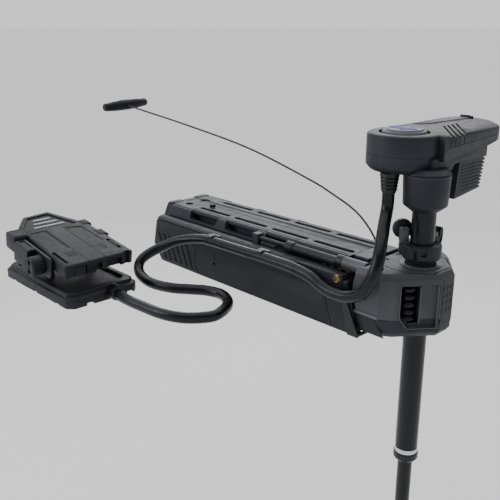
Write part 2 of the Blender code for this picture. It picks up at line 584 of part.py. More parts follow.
def make_head():
    wall = 0.004
    drum = (DRUM_X, 0, 0)
    roof = HEAD_TOP_Z - 0.009
    under_wing = [(-0.10, 0.2800), (0.0070, 0.2800), (0.1400, 0.2915), (0.1600, 0.2950), (0.26, 0.3010),
                  (0.26, 0.20), (-0.10, 0.20)]
    lower = prism("head_lower_shell", wing_outline(), "XY", 0.2700, HEAD_TOP_Z - 0.005, CHARCOAL)
    cut(lower, prism_mesh(under_wing, "YZ", 0.10, 0.33))
    bowl = [(0.0, 0.3050), (DRUM_RADIUS, 0.3050), (DRUM_RADIUS, HEAD_BOTTOM_Z + 0.0065),
            (DRUM_RADIUS - 0.0055, HEAD_BOTTOM_Z), (0.0, HEAD_BOTTOM_Z)]
    join(lower, turned_mesh(bowl, drum, steps=44))
    skirt_low = HEAD_BOTTOM_Z + 0.0004
    skirt = [(-0.0100, skirt_low), (0.0420, skirt_low), (0.0500, SKIRT_Z), (0.1460, SKIRT_Z),
             (0.1460, 0.2945), (-0.0100, 0.2850)]
    join(lower, prism_mesh(skirt, "YZ", 0.226, 0.277))
    cone = [(0.0, 0.2705), (0.0290, 0.2705), (0.0362, 0.2642), (0.0362, 0.2630), (0.0, 0.2630)]
    join(lower, turned_mesh(cone, (SHAFT_X, 0, 0), steps=32))
    cut(lower, prism_mesh(head_seam(0.0, 0.40), "YZ", 0.10, 0.33))
    cut(lower, rod_mesh(DRUM_RADIUS - wall, HEAD_BOTTOM_Z + wall, 0.40, drum, steps=32))
    cut(lower, prism_mesh(wing_outline(wall), "XY", 0.3030, 0.40))
    cut(lower, rod_mesh(0.0060, 0.25, 0.28, (PINION_X, 0, 0), steps=16))

    upper = prism("head_upper_shell", wing_outline(), "XY", 0.2850, HEAD_TOP_Z - 0.0008, CHARCOAL, 0.0030, 2)
    lid = [(0.0, HEAD_TOP_Z), (DRUM_RADIUS - 0.0030, HEAD_TOP_Z), (DRUM_RADIUS, HEAD_TOP_Z - 0.0028),
           (DRUM_RADIUS, 0.2810), (0.0, 0.2810)]
    join(upper, turned_mesh(lid, drum, steps=44))
    cut(upper, prism_mesh(head_seam(GAP, 0.20), "YZ", 0.10, 0.33))
    cut(upper, rod_mesh(DRUM_RADIUS - wall, 0.20, roof, drum, steps=32))
    cut(upper, prism_mesh(wing_outline(wall), "XY", 0.20, roof - 0.0004))
    recess = rod_mesh(DIAL_RADIUS + 0.005, HEAD_TOP_Z - 0.004, HEAD_TOP_Z + 0.01, drum, steps=36)
    cut(upper, recess)

    dial = [(0.0, 0.3255), (0.0280, 0.3255), (0.0295, 0.3235), (DIAL_RADIUS - 0.001, 0.3225),
            (DIAL_RADIUS, 0.3205), (DIAL_RADIUS, HEAD_TOP_Z - 0.004 + GAP),
            (0.0, HEAD_TOP_Z - 0.004 + GAP)]
    turned("direction_dial", dial, (DRUM_X, 0, 0), DIAL, steps=36)

    # finned block under the wing
    fins = 9
    low_z = 0.2215
    high_z = SKIRT_Z - GAP
    rise = (high_z - low_z) / fins
    comb = [(0.0580, low_z - 0.0080)]
    for i in range(fins):
        z = low_z + rise * i
        reach = 0.1335 + 0.0012 * i
        comb += [(reach, z), (reach, z + rise * 0.62), (reach - 0.004, z + rise * 0.70),
                 (reach - 0.004, z + rise * 0.98)]
    comb[-1] = (comb[-1][0], high_z)
    comb += [(0.0655, high_z)]
    block = prism("heat_sink_block", comb, "YZ", 0.222, 0.276, CHARCOAL)
    bridge = box_mesh((0.235, 0.0400, 0.2210), (0.262, 0.0700, HEAD_BOTTOM_Z - GAP))
    join(block, bridge)

    boot_profile = [(0.0, HEAD_BOTTOM_Z - GAP), (0.0150, HEAD_BOTTOM_Z - GAP)]
    ribs = 5
    for i in range(ribs):
        z = 0.2590 - i * 0.0055
        r = 0.0152 - i * 0.0006
        boot_profile += [(r, z), (r, z - 0.0030), (r - 0.0016, z - 0.0038)]
    boot_profile += [(0.0112, 0.2303), (0.0, 0.2303)]
    turned("cable_boot", boot_profile, (0.218, -0.037, 0), BLACK, steps=16)

    # steering drive inside the head
    rod("steering_motor", 0.0165, 0.2668, 0.3000, (PINION_X, 0, 0), DARK, steps=24)
    pinion = [(0.0, 0.2662), (0.0030, 0.2662), (0.0030, 0.2502), (PINION_RADIUS, 0.2502),
              (PINION_RADIUS, 0.2432), (0.0, 0.2432)]
    turned("drive_pinion", pinion, (PINION_X, 0, 0), STEEL, steps=12)
    gear_outline = []
    teeth = 20
    for i in range(teeth):
        for share, radius in ((0.0, GEAR_RADIUS - 0.0018), (0.25, GEAR_RADIUS - 0.0018),
                              (0.40, GEAR_RADIUS), (0.75, GEAR_RADIUS)):
            angle = 2 * pi * (i + share) / teeth
            gear_outline.append((SHAFT_X + radius * cos(angle), radius * sin(angle)))
    prism("steering_gear", gear_outline, "XY", 0.2430, 0.2500, BRASS)
    box("circuit_board", (0.185, 0.115, 0.3040), (0.265, 0.185, 0.3056), BOARD)


def make_lower_unit():
    axis = (SHAFT_X, 0, 0)
    top = MOTOR_Z + MOTOR_RADIUS + 0.030
    rod("inner_shaft", INNER_RADIUS, top + GAP, 0.2427, axis, COMPOSITE)
    socket = [(0.0, top), (0.0190, top), (0.0215, top - 0.004), (0.0240, MOTOR_Z + 0.030),
              (0.0, MOTOR_Z + 0.030)]
    body = [(0.0, MOTOR_HALF_LENGTH), (MOTOR_RADIUS, MOTOR_HALF_LENGTH),
            (MOTOR_RADIUS, -MOTOR_HALF_LENGTH), (0.0, -MOTOR_HALF_LENGTH)]
    housing = turned("motor_housing", body, (SHAFT_X, 0, MOTOR_Z), CHARCOAL, "X", 36)
    join(housing, turned_mesh(socket, axis, steps=28))
    cut(housing, rod_mesh(0.0355, -0.090, MOTOR_HALF_LENGTH + 0.02, (SHAFT_X, 0, MOTOR_Z), "X", 28))
    cut(housing, rod_mesh(0.0056, -0.120, -0.080, (SHAFT_X, 0, MOTOR_Z), "X", 16))
    rod("motor_armature", 0.0300, -0.080, 0.070, (SHAFT_X, 0, MOTOR_Z), BRASS, "X", 24)
    tube("motor_magnets", 0.0350, 0.0315, -0.075, 0.065, (SHAFT_X, 0, MOTOR_Z), STEEL, "X", 24)

    nose = []
    for i in range(9):
        angle = radians(90) * i / 8
        nose.append((MOTOR_RADIUS * sin(angle), MOTOR_HALF_LENGTH + GAP + 0.075 * cos(angle)))
    nose += [(0.0, MOTOR_HALF_LENGTH + GAP)]
    turned("nose_cone", nose, (SHAFT_X, 0, MOTOR_Z), CHARCOAL, "X", 32)

    tail_end = -MOTOR_HALF_LENGTH - GAP
    tail = [(0.0056, tail_end), (MOTOR_RADIUS, tail_end), (0.0440, tail_end - 0.020),
            (0.0350, tail_end - 0.042), (0.0270, tail_end - 0.052), (0.0056, tail_end - 0.052)]
    turned("tail_cone", tail, (SHAFT_X, 0, MOTOR_Z), CHARCOAL, "X", 32, closed=True)

    skeg = [(-0.075, MOTOR_Z - 0.040), (-0.092, MOTOR_Z - 0.100), (-0.080, MOTOR_Z - 0.150),
            (-0.055, MOTOR_Z - 0.158), (-0.030, MOTOR_Z - 0.120), (0.005, MOTOR_Z - 0.075),
            (0.035, MOTOR_Z - 0.040)]
    join(housing, prism_mesh([(SHAFT_X + a, b) for a, b in skeg], "XZ", -0.003, 0.003))

    # propeller: hub and two swept weedless blades
    hub_front = SHAFT_X + tail_end - 0.052 - 0.0008
    hub_profile = [(0.0056, hub_front), (0.0265, hub_front), (0.0245, hub_front - 0.040),
                   (0.0200, hub_front - 0.050), (0.0056, hub_front - 0.050)]
    hub = turned("propeller", hub_profile, (0, 0, MOTOR_Z), BLACK, "X", 24, closed=True)
    blade = [(-0.020, 0.018), (0.018, 0.018), (0.030, 0.060), (0.026, 0.105), (0.004, PROP_RADIUS),
             (-0.020, 0.126), (-0.034, 0.090), (-0.030, 0.050)]
    for i in range(2):
        mesh = prism_mesh(blade, "YZ", -0.0025, 0.0025, 0.0012, 1)
        pitch = Matrix.Rotation(radians(52), 4, "Z")
        spin = Matrix.Rotation(pi * i, 4, "X")
        mesh.transform(Matrix.Translation((hub_front - 0.022, 0, MOTOR_Z)) @ spin @ pitch)
        join(hub, mesh)
    shaft_start = SHAFT_X - 0.0803
    rod("propeller_shaft", 0.0050, hub_front - 0.0560, shaft_start, (0, 0, MOTOR_Z), STEEL, "X", 16)
    nut = [(0.0062, hub_front - 0.0503), (0.0105, hub_front - 0.0503),
           (0.0105, hub_front - 0.0580), (0.0062, hub_front - 0.0580)]
    turned("propeller_nut", nut, (0, 0, MOTOR_Z), STEEL, "X", 6, closed=True)


# ---------------------------------------------------------------- pedal
def make_pedal():
    tray_outline = [(-0.447, -0.362), (-0.435, -0.374), (-0.209, -0.374), (-0.197, -0.362),
                    (-0.197, -0.2385), (-0.209, -0.2265), (-0.435, -0.2265), (-0.447, -0.2385)]
    middle_y = -0.30025
    tray = prism("pedal_base", tray_outline, "XY", 0.0, TRAY_TOP_Z - 0.007, CHARCOAL, 0.0015, 1)
    rim = [(x * 0.965 + PEDAL_X * 0.035 + 0.0004, y * 0.95 + middle_y * 0.05) for x, y in tray_outline]
    join(tray, prism_mesh(rim, "XY", 0.010, TRAY_TOP_Z, 0.0012, 1))
    pocket = [(x * 0.86 - 0.322 * 0.14, y * 0.82 + middle_y * 0.18) for x, y in tray_outline]
    cut(tray, prism_mesh(pocket, "XY", 0.020, 0.05))
    for y in (-0.3300, -0.2460):
        cut(tray, box_mesh((-0.215, y - 0.008, -0.01), (-0.180, y + 0.008, 0.005)))
    lug_outline = [(PEDAL_X - 0.014, 0.005), (PEDAL_X + 0.014, 0.005),
                   *arc((PEDAL_X, PEDAL_Z), 0.0095, 0, 180, 9)]
    for side in (-1, 1):
        y = PEDAL_Y + side * 0.0450
        join(tray, prism_mesh(lug_outline, "XZ", y - 0.004, y + 0.004))
        cut(tray, rod_mesh(0.0053, -0.02, 0.02, (PEDAL_X, y, PEDAL_Z), "Y", 16))
    gland = [(0.0, -0.1750), (0.0120, -0.1750), (0.0120, -0.1790), (0.0140, -0.1795),
             (0.0140, -0.1840), (0.0120, -0.1845), (0.0120, -0.1885), (0.0145, -0.1890),
             (0.0145, -0.1967), (0.0, -0.1967)]
    turned("pedal_gland", gland, (0, -0.2850, 0.0150), BLACK, "X", 16)
    rod("pedal_axle", 0.0050, -0.0510, 0.0510, (PEDAL_X, PEDAL_Y, PEDAL_Z), STEEL, "Y", 16)

    # everything on the treadle is modelled level and hangs on an empty at the axle
    hinge = bpy.data.objects.new("treadle_axis", None)
    hinge.location = (PEDAL_X, PEDAL_Y, PEDAL_Z)
    hinge.rotation_euler = (0.0, PEDAL_TILT, 0.0)
    parts.objects.link(hinge)
    outline = [(0.115, -0.075), (0.115, 0.066), (-0.040, 0.062), (-0.127, 0.022),
               (-0.121, -0.035), (-0.078, -0.066)]
    bottom = TREADLE_TOP - TREADLE_THICKNESS
    treadle = prism("foot_plate", outline[::-1], "XY", bottom, TREADLE_TOP, CHARCOAL, 0.003, 2)
    ear_outline = [(-0.010, bottom + 0.002), *arc((0, 0), 0.0095, 180, 360, 9), (0.010, bottom + 0.002)]
    for side in (-1, 1):
        y = side * 0.0350
        join(treadle, prism_mesh(ear_outline, "XZ", y - 0.004, y + 0.004))
        cut(treadle, rod_mesh(0.0053, -0.02, 0.02, (0, y, 0), "Y", 16))
    cut(treadle, box_mesh((-0.0560, 0.0500, bottom - 0.01), (-0.0330, 0.0700, TREADLE_TOP + 0.01)))
    cut(treadle, box_mesh((0.0010, 0.0520, bottom - 0.01), (0.0260, 0.0720, TREADLE_TOP + 0.01)))

    pod_y = -0.0755
    pod = box("control_pod", (-0.0320, pod_y - 0.0230, -0.0040), (0.0760, pod_y, 0.0355),
              CHARCOAL, 0.003, 2)
    knob_centre = (0.0420, 0.0, 0.0140)
    cut(pod, box_mesh((0.0215, pod_y - 0.05, -0.02), (0.10, pod_y - 0.0060, 0.05)))
    knob = turned_mesh([(0.0, pod_y - 0.0300), (0.0160, pod_y - 0.0300), (0.0175, pod_y - 0.0280),
                        (0.0180, pod_y - 0.0064), (0.0, pod_y - 0.0064)][::-1], knob_centre, "Y", 28)
    knob_part = finish("speed_knob", knob, DARK)
    cut(knob_part, box_mesh((0.0395, pod_y - 0.04, 0.0010), (0.0445, pod_y - 0.0275, 0.0270)))
    button = box("momentary_button", (-0.0700, pod_y - 0.0200, 0.0070),
                 (-0.0330, pod_y + 0.0080, 0.0405), CHARCOAL, 0.004, 2)
    cut(treadle, box_mesh((-0.0900, -0.0900, bottom - 0.01), (-0.0322, -0.0665, TREADLE_TOP + 0.01)))
    mode = box("mode_button", (-0.0553, 0.0510, bottom + 0.002), (-0.0337, 0.0690, 0.0385),
               DARK, 0.0015, 1)
    anchor = box("anchor_button", (0.0017, 0.0530, bottom + 0.002), (0.0253, 0.0710, 0.0385),
                 DARK, 0.0015, 1)
    for piece in (treadle, pod, knob_part, button, mode, anchor):
        piece.parent = hinge
        for change in piece.modifiers:
            if change.type == "BOOLEAN":
                change.object.parent = hinge


# ---------------------------------------------------------------- cords
def make_cords():
    spacing = CABLE_RADIUS * 2.4
    cord("deck_cable", smooth_route(DECK_CABLE_ROUTE, spacing), CABLE_RADIUS, BLACK)
    cord("front_cable", smooth_route(FRONT_CABLE_ROUTE, 0.014), CABLE_RADIUS, BLACK)
    cord("head_cable", smooth_route(HEAD_CABLE_ROUTE, 0.014), CABLE_RADIUS, BLACK)
    cord("pull_rope", smooth_route(ROPE_ROUTE, 0.016), ROPE_RADIUS, ROPE)
    grip = []
    for share, radius in ((0.5, 0.0), (0.5, 0.66), (0.47, 0.75), (0.25, 0.92), (0.0, 1.0),
                          (-0.25, 0.92), (-0.47, 0.75), (-0.5, 0.66), (-0.5, 0.0)):
        grip.append((radius * HANDLE_RADIUS, share * HANDLE_LENGTH))
    mesh = turned_mesh(grip, (0, 0, 0), "Y", 20)
    mesh.transform(Matrix.Translation(HANDLE_CENTRE) @ Matrix.Rotation(radians(2.3), 4, "X"))
    finish("pull_handle", mesh, DARK)


make_base()
make_lift_spring()
make_clips()
make_yoke()
make_column()
make_head()
make_lower_unit()
make_pedal()
make_cords()
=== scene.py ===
from math import cos, pi, radians, sin

import bmesh
import bpy
import numpy as np
from mathutils import Matrix, Vector


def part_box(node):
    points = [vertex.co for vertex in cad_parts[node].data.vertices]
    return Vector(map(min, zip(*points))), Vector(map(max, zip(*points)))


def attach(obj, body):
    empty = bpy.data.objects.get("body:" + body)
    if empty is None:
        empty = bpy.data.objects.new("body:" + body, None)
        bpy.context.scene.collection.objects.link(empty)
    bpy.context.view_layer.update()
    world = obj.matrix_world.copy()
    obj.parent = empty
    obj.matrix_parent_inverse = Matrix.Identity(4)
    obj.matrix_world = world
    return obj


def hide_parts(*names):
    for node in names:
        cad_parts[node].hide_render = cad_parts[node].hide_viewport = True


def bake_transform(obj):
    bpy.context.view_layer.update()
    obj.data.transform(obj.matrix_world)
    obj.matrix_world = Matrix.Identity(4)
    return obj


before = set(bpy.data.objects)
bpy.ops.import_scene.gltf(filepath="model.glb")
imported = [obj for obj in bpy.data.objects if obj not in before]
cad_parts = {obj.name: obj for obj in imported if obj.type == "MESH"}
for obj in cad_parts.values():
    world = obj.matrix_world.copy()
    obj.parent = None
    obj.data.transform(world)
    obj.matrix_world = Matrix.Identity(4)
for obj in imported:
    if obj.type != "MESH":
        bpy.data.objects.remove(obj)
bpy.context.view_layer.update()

# Bow-mount trolling motor. Metres, +Z up, +X over the bow, the foot pedal on the -Y side.
# The fixed parts ride on "mount"; every other body is one of the record's.

# ---- camera
CAMERA_PLACE = (0.8546, -0.9306, 0.4901)
CAMERA_YAW = radians(43.246)
CAMERA_PITCH = radians(18.205)
CAMERA_LENS = 51.29

scene = bpy.context.scene
camera = bpy.data.objects.new("camera", bpy.data.cameras.new("camera"))
camera.data.lens = CAMERA_LENS
camera.data.clip_end = 100
camera.location = CAMERA_PLACE
looking = Vector((-cos(CAMERA_YAW) * cos(CAMERA_PITCH), sin(CAMERA_YAW) * cos(CAMERA_PITCH),
                  -sin(CAMERA_PITCH)))
camera.rotation_euler = looking.to_track_quat("-Z", "Y").to_euler()
scene.collection.objects.link(camera)
scene.camera = camera


# ---- materials
def shader_of(name, colour, roughness, metallic=0.0):
    """A new material with its Principled shader."""
    made = bpy.data.materials.new(name)
    made.use_nodes = True
    tree = made.node_tree
    shader = tree.nodes["Principled BSDF"]
    shader.inputs["Base Color"].default_value = (*colour, 1.0)
    shader.inputs["Roughness"].default_value = roughness
    shader.inputs["Metallic"].default_value = metallic
    shader.inputs["Specular IOR Level"].default_value = 0.3
    shader.inputs["Specular Tint"].default_value = (0.9, 0.91, 1.0, 1.0)
    return made, tree, shader


def noise(tree, scale, detail=3.0, stretch=None):
    """Noise in object space, with scale in cycles per metre."""
    place = tree.nodes.new("ShaderNodeTexCoord").outputs["Object"]
    if stretch:
        mapping = tree.nodes.new("ShaderNodeMapping")
        mapping.inputs["Scale"].default_value = stretch
        tree.links.new(place, mapping.inputs["Vector"])
        place = mapping.outputs["Vector"]
    made = tree.nodes.new("ShaderNodeTexNoise")
    made.inputs["Scale"].default_value = scale
    made.inputs["Detail"].default_value = detail
    tree.links.new(place, made.inputs["Vector"])
    return made.outputs["Fac"]


def ramp(tree, value, low, high, at=(0.3, 0.7)):
    """Value turned into a colour or a grey between low and high."""
    made = tree.nodes.new("ShaderNodeValToRGB")
    for stop, place, shade in zip(made.color_ramp.elements, at, (low, high)):
        stop.position = place
        stop.color = (*shade, 1.0) if isinstance(shade, tuple) else (shade, shade, shade, 1.0)
    tree.links.new(value, made.inputs["Fac"])
    return made.outputs["Color"]


def bumps(tree, shader, height, strength, distance):
    """Relief from a height, in metres."""
    bump = tree.nodes.new("ShaderNodeBump")
    bump.inputs["Strength"].default_value = strength
    bump.inputs["Distance"].default_value = distance
    tree.links.new(height, bump.inputs["Height"])
    tree.links.new(bump.outputs["Normal"], shader.inputs["Normal"])


def worn(tree, shader, colour, varied, edge_lift):
    """Base colour with slow variation and lighter, rubbed edges."""
    darker = tuple(c * (1 - varied) for c in colour)
    lighter = tuple(c * (1 + varied) for c in colour)
    body = ramp(tree, noise(tree, 26.0), darker, lighter)
    edges = tree.nodes.new("ShaderNodeNewGeometry").outputs["Pointiness"]
    mix = tree.nodes.new("ShaderNodeMix")
    mix.data_type = "RGBA"
    mix.inputs["B"].default_value = (*[min(1.0, c * edge_lift + 0.01) for c in colour], 1.0)
    tree.links.new(ramp(tree, edges, 0.0, 0.75, (0.53, 0.6)), mix.inputs["Factor"])
    tree.links.new(body, mix.inputs["A"])
    tree.links.new(mix.outputs["Result"], shader.inputs["Base Color"])


def moulded(name, colour, roughness, grain=1500.0, depth=0.00006, strength=0.35, edge_lift=1.9):
    """Moulded plastic: fine spark-eroded grain, slight mottling and rubbed edges."""
    made, tree, shader = shader_of(name, colour, roughness)
    worn(tree, shader, colour, 0.12, edge_lift)
    bumps(tree, shader, noise(tree, grain, 4.0), strength, depth)
    tree.links.new(ramp(tree, noise(tree, 90.0), roughness - 0.06, roughness + 0.07),
                   shader.inputs["Roughness"])
    return made


def casting(name, colour, roughness):
    """Anodised casting: a finely blasted metallic skin."""
    made, tree, shader = shader_of(name, colour, roughness, 0.25)
    worn(tree, shader, colour, 0.08, 1.7)
    bumps(tree, shader, noise(tree, 2200.0, 2.0), 0.25, 0.00004)
    tree.links.new(ramp(tree, noise(tree, 60.0), roughness - 0.05, roughness + 0.06),
                   shader.inputs["Roughness"])
    return made


def glossy_rubber(name, colour, roughness, coat=0.3):
    """Extruded rubber: smooth, glossy and faintly streaked."""
    made, tree, shader = shader_of(name, colour, roughness)
    shader.inputs["Coat Weight"].default_value = coat
    shader.inputs["Coat Roughness"].default_value = 0.18
    tree.links.new(ramp(tree, noise(tree, 140.0), roughness - 0.06, roughness + 0.1),
                   shader.inputs["Roughness"])
    bumps(tree, shader, noise(tree, 420.0, 2.0), 0.15, 0.00008)
    return made


def metal(name, colour, roughness, stretch):
    """Machined metal with fine tool lines."""
    made, tree, shader = shader_of(name, colour, roughness, 1.0)
    lines = noise(tree, 260.0, 2.0, stretch)
    bumps(tree, shader, lines, 0.2, 0.00003)
    tree.links.new(ramp(tree, lines, roughness - 0.08, roughness + 0.1), shader.inputs["Roughness"])
    return made


def wound(name, colour):
    """Lay of a thin braided rope, as diagonal waves."""
    made, tree, shader = shader_of(name, colour, 0.7)
    wave = tree.nodes.new("ShaderNodeTexWave")
    wave.wave_type = "BANDS"
    wave.bands_direction = "DIAGONAL"
    wave.inputs["Scale"].default_value = 160.0
    place = tree.nodes.new("ShaderNodeTexCoord").outputs["Object"]
    tree.links.new(place, wave.inputs["Vector"])
    tree.links.new(ramp(tree, wave.outputs["Fac"], tuple(c * 0.6 for c in colour), colour),
                   shader.inputs["Base Color"])
    bumps(tree, shader, wave.outputs["Fac"], 0.5, 0.0002)
    return made


CHARCOAL = moulded("charcoal_moulded", (0.017, 0.017, 0.023), 0.5)
PANEL = moulded("panel_moulded", (0.006, 0.006, 0.0092), 0.46)
DARK = moulded("dark_moulded", (0.006, 0.006, 0.0085), 0.44)
PEDAL_SKIN = moulded("pedal_moulded", (0.01, 0.01, 0.014), 0.52, 1100.0, 0.0001, 0.5)
GREY = casting("blasted_casting", (0.03, 0.03, 0.037), 0.46)
YOKE = casting("yoke_casting", (0.062, 0.062, 0.071), 0.5)
LIGHT = casting("light_casting", (0.075, 0.075, 0.084), 0.4)
CABLE = glossy_rubber("cable_jacket", (0.004, 0.004, 0.0062), 0.27, 0.04)
RUBBER = glossy_rubber("soft_rubber", (0.0045, 0.0045, 0.0062), 0.38)
SHAFT = glossy_rubber("shaft_composite", (0.0055, 0.0055, 0.008), 0.28, 0.06)
STEEL = metal("brushed_steel", (0.62, 0.62, 0.64), 0.26, (1.0, 1.0, 30.0))
BRASS = metal("turned_brass", (0.3, 0.22, 0.11), 0.38, (1.0, 30.0, 1.0))
PALE = moulded("pale_print", (0.3, 0.3, 0.31), 0.45)
DIAL = moulded("dial_face", (0.1, 0.105, 0.125), 0.42, 1500.0, 0.00003, 0.2)
BLUE = moulded("arrow_blue", (0.006, 0.01, 0.26), 0.55, 1500.0, 0.00003, 0.2, 1.1)
ROPE = wound("braided_rope", (0.045, 0.045, 0.05))
BOARD = moulded("board_laminate", (0.02, 0.12, 0.05), 0.4)


# ---- mesh helpers
WELD = 0.00001
GAP = 0.0003
OVERSHOOT = 0.01
PIN_HOLE = 0.0053
TUBE_BORE = 0.0193
KNURL_POINTS = 96
TURNS = {
    "XY": Matrix.Identity(4),
    "XZ": Matrix(((1, 0, 0), (0, 0, -1), (0, 1, 0))).to_4x4(),
    "YZ": Matrix(((0, 0, 1), (1, 0, 0), (0, 1, 0))).to_4x4(),
}
AXES = {
    "Z": Matrix.Identity(4),
    "X": Matrix(((0, 0, 1), (0, 1, 0), (-1, 0, 0))).to_4x4(),
    "Y": Matrix(((1, 0, 0), (0, 0, 1), (0, -1, 0))).to_4x4(),
}


def temporary(data):
    """A short-lived object for one modifier."""
    made = bpy.data.objects.new("temporary", data)
    scene.collection.objects.link(made)
    return made


def evaluated(obj, *others):
    """The finished mesh of a temporary object, which is removed along with the others."""
    bpy.context.view_layer.update()
    graph = bpy.context.evaluated_depsgraph_get()
    mesh = bpy.data.meshes.new_from_object(obj.evaluated_get(graph))
    mesh.transform(obj.matrix_world)
    for old in (obj, *others):
        bpy.data.objects.remove(old)
    shape = bmesh.new()
    shape.from_mesh(mesh)
    bmesh.ops.remove_doubles(shape, verts=shape.verts, dist=WELD)
    bmesh.ops.holes_fill(shape, edges=[e for e in shape.edges if e.is_boundary], sides=8)
    shape.to_mesh(mesh)
    shape.free()
    return mesh


def rounded(mesh, width, segments=2, angle=28):
    """A mesh with its sharp edges bevelled."""
    obj = temporary(mesh)
    change = obj.modifiers.new("rounding", "BEVEL")
    change.width = width
    change.segments = segments
    change.limit_method = "ANGLE"
    change.angle_limit = radians(angle)
    change.use_clamp_overlap = True
    return evaluated(obj)


def mesh_of(shape):
    """The mesh of a finished bmesh, its faces turned outwards."""
    bmesh.ops.recalc_face_normals(shape, faces=shape.faces)
    mesh = bpy.data.meshes.new("made")
    shape.to_mesh(mesh)
    shape.free()
    return mesh


def skin_over(rings):
    """A closed solid through rings of the same number of points."""
    shape = bmesh.new()
    rings = [[shape.verts.new(point) for point in ring] for ring in rings]
    for one, two in zip(rings, rings[1:]):
        for i in range(len(one)):
            j = (i + 1) % len(one)
            shape.faces.new((one[i], one[j], two[j], two[i]))
    shape.faces.new(rings[0])
    shape.faces.new(rings[-1])
    return mesh_of(shape)


def lofted(*levels):
    """A solid through several outlines, each at its own height."""
    return skin_over([[(a, b, z) for a, b in outline] for outline, z in levels])


def prism(outline, plane, low, high, bevel=0.0, segments=2):
    """An outline in a plane, given a thickness from low to high along the plane's normal."""
    turn = TURNS[plane]
    sign = -1.0 if plane == "XZ" else 1.0
    shape = bmesh.new()
    ends = []
    for level in (low, high):
        ends.append([shape.verts.new(turn @ Vector((a, b, level * sign))) for a, b in outline])
    shape.faces.new(ends[0])
    shape.faces.new(ends[1])
    for i in range(len(outline)):
        j = (i + 1) % len(outline)
        shape.faces.new((ends[0][i], ends[0][j], ends[1][j], ends[1][i]))
    mesh = mesh_of(shape)
    return rounded(mesh, bevel, segments) if bevel else mesh


def side_prism(outline, side, near, far, bevel=0.0, segments=2):
    """A prism of an XZ outline between two distances from the middle plane, on one side of it."""
    low, high = sorted((side * near, side * far))
    return prism(outline, "XZ", low, high, bevel, segments)


def block(low, high, bevel=0.0, segments=2):
    """A box between two corners."""
    outline = [(low[0], low[1]), (high[0], low[1]), (high[0], high[1]), (low[0], high[1])]
    return prism(outline, "XY", low[2], high[2], bevel, segments)


def slot_outline(low, high, across, width, steps=7):
    """A slot with round ends, along the first coordinate."""
    half = width / 2
    left = arc((low + half, across), half, 90, 270, steps)
    right = arc((high - half, across), half, -90, 90, steps)
    return left + right


def arc(centre, radius, start, end, count):
    """Points along an arc, with its ends in degrees."""
    angles = [radians(start + (end - start) * i / (count - 1)) for i in range(count)]
    return [(centre[0] + radius * cos(a), centre[1] + radius * sin(a)) for a in angles]


def knurled(centre, radius, valley, pitch, wide):
    """A round outline of 96 points whose edge is cut into teeth."""
    points = []
    for i in range(KNURL_POINTS):
        reach = radius if i % pitch < wide else valley
        angle = 2 * pi * i / KNURL_POINTS
        points.append((centre[0] + reach * cos(angle), centre[1] + reach * sin(angle)))
    return points


def turned(profile, centre=(0, 0, 0), axis="Z", steps=48, closed=False):
    """A profile of (radius, height) pairs, turned about an axis through the centre."""
    shape = bmesh.new()
    points = [shape.verts.new((r, 0.0, h)) for r, h in profile]
    pairs = zip(points, points[1:] + points[:1]) if closed else zip(points, points[1:])
    edges = [shape.edges.new(pair) for pair in pairs]
    bmesh.ops.spin(shape, geom=points + edges, cent=(0, 0, 0), axis=(0, 0, 1), angle=2 * pi,
                   steps=steps, use_merge=True)
    bmesh.ops.remove_doubles(shape, verts=shape.verts, dist=WELD)
    mesh = mesh_of(shape)
    mesh.transform(Matrix.Translation(centre) @ AXES[axis])
    return mesh


def rod(radius, low, high, centre, axis="Z", steps=32):
    """A cylinder between two levels along its axis."""
    return turned([(0, high), (radius, high), (radius, low), (0, low)], centre, axis, steps)


def boolean(mesh, tools, operation):
    for tool in tools:
        obj = temporary(mesh)
        other = temporary(tool)
        change = obj.modifiers.new("boolean", "BOOLEAN")
        change.operation = operation
        change.object = other
        change.solver = "EXACT"
        mesh = evaluated(obj, other)
    return mesh


def cut(mesh, *tools):
    return boolean(mesh, tools, "DIFFERENCE")


def join(mesh, *tools):
    return boolean(mesh, tools, "UNION")


def sunk(mesh, outline, top, depth):
    """A mesh with an XY outline cut down into its top to a depth."""
    return cut(mesh, prism(outline, "XY", top - depth, top + OVERSHOOT))


def merged(*meshes):
    """Several separate solids as one mesh."""
    shape = bmesh.new()
    for mesh in meshes:
        shape.from_mesh(mesh)
    made = bpy.data.meshes.new("merged")
    shape.to_mesh(made)
    shape.free()
    return made


def moved(mesh, matrix):
    mesh.transform(matrix)
    return mesh


def about(centre, angle):
    """Placement at a centre, turned by an angle in degrees about the vertical."""
    return Matrix.Translation(centre) @ Matrix.Rotation(radians(angle), 4, "Z")


def piece(name, mesh, body, skin, stands_for="", angle=32):
    """A finished piece that rides on a body and may stand for CAD nodes."""
    mesh.shade_smooth()
    mesh.set_sharp_from_angle(angle=radians(angle))
    mesh.materials.clear()
    mesh.materials.append(skin)
    obj = bpy.data.objects.new(name, mesh)
    scene.collection.objects.link(obj)
    if body:
        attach(obj, body)
    if stands_for:
        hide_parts(*stands_for.split())
    return obj


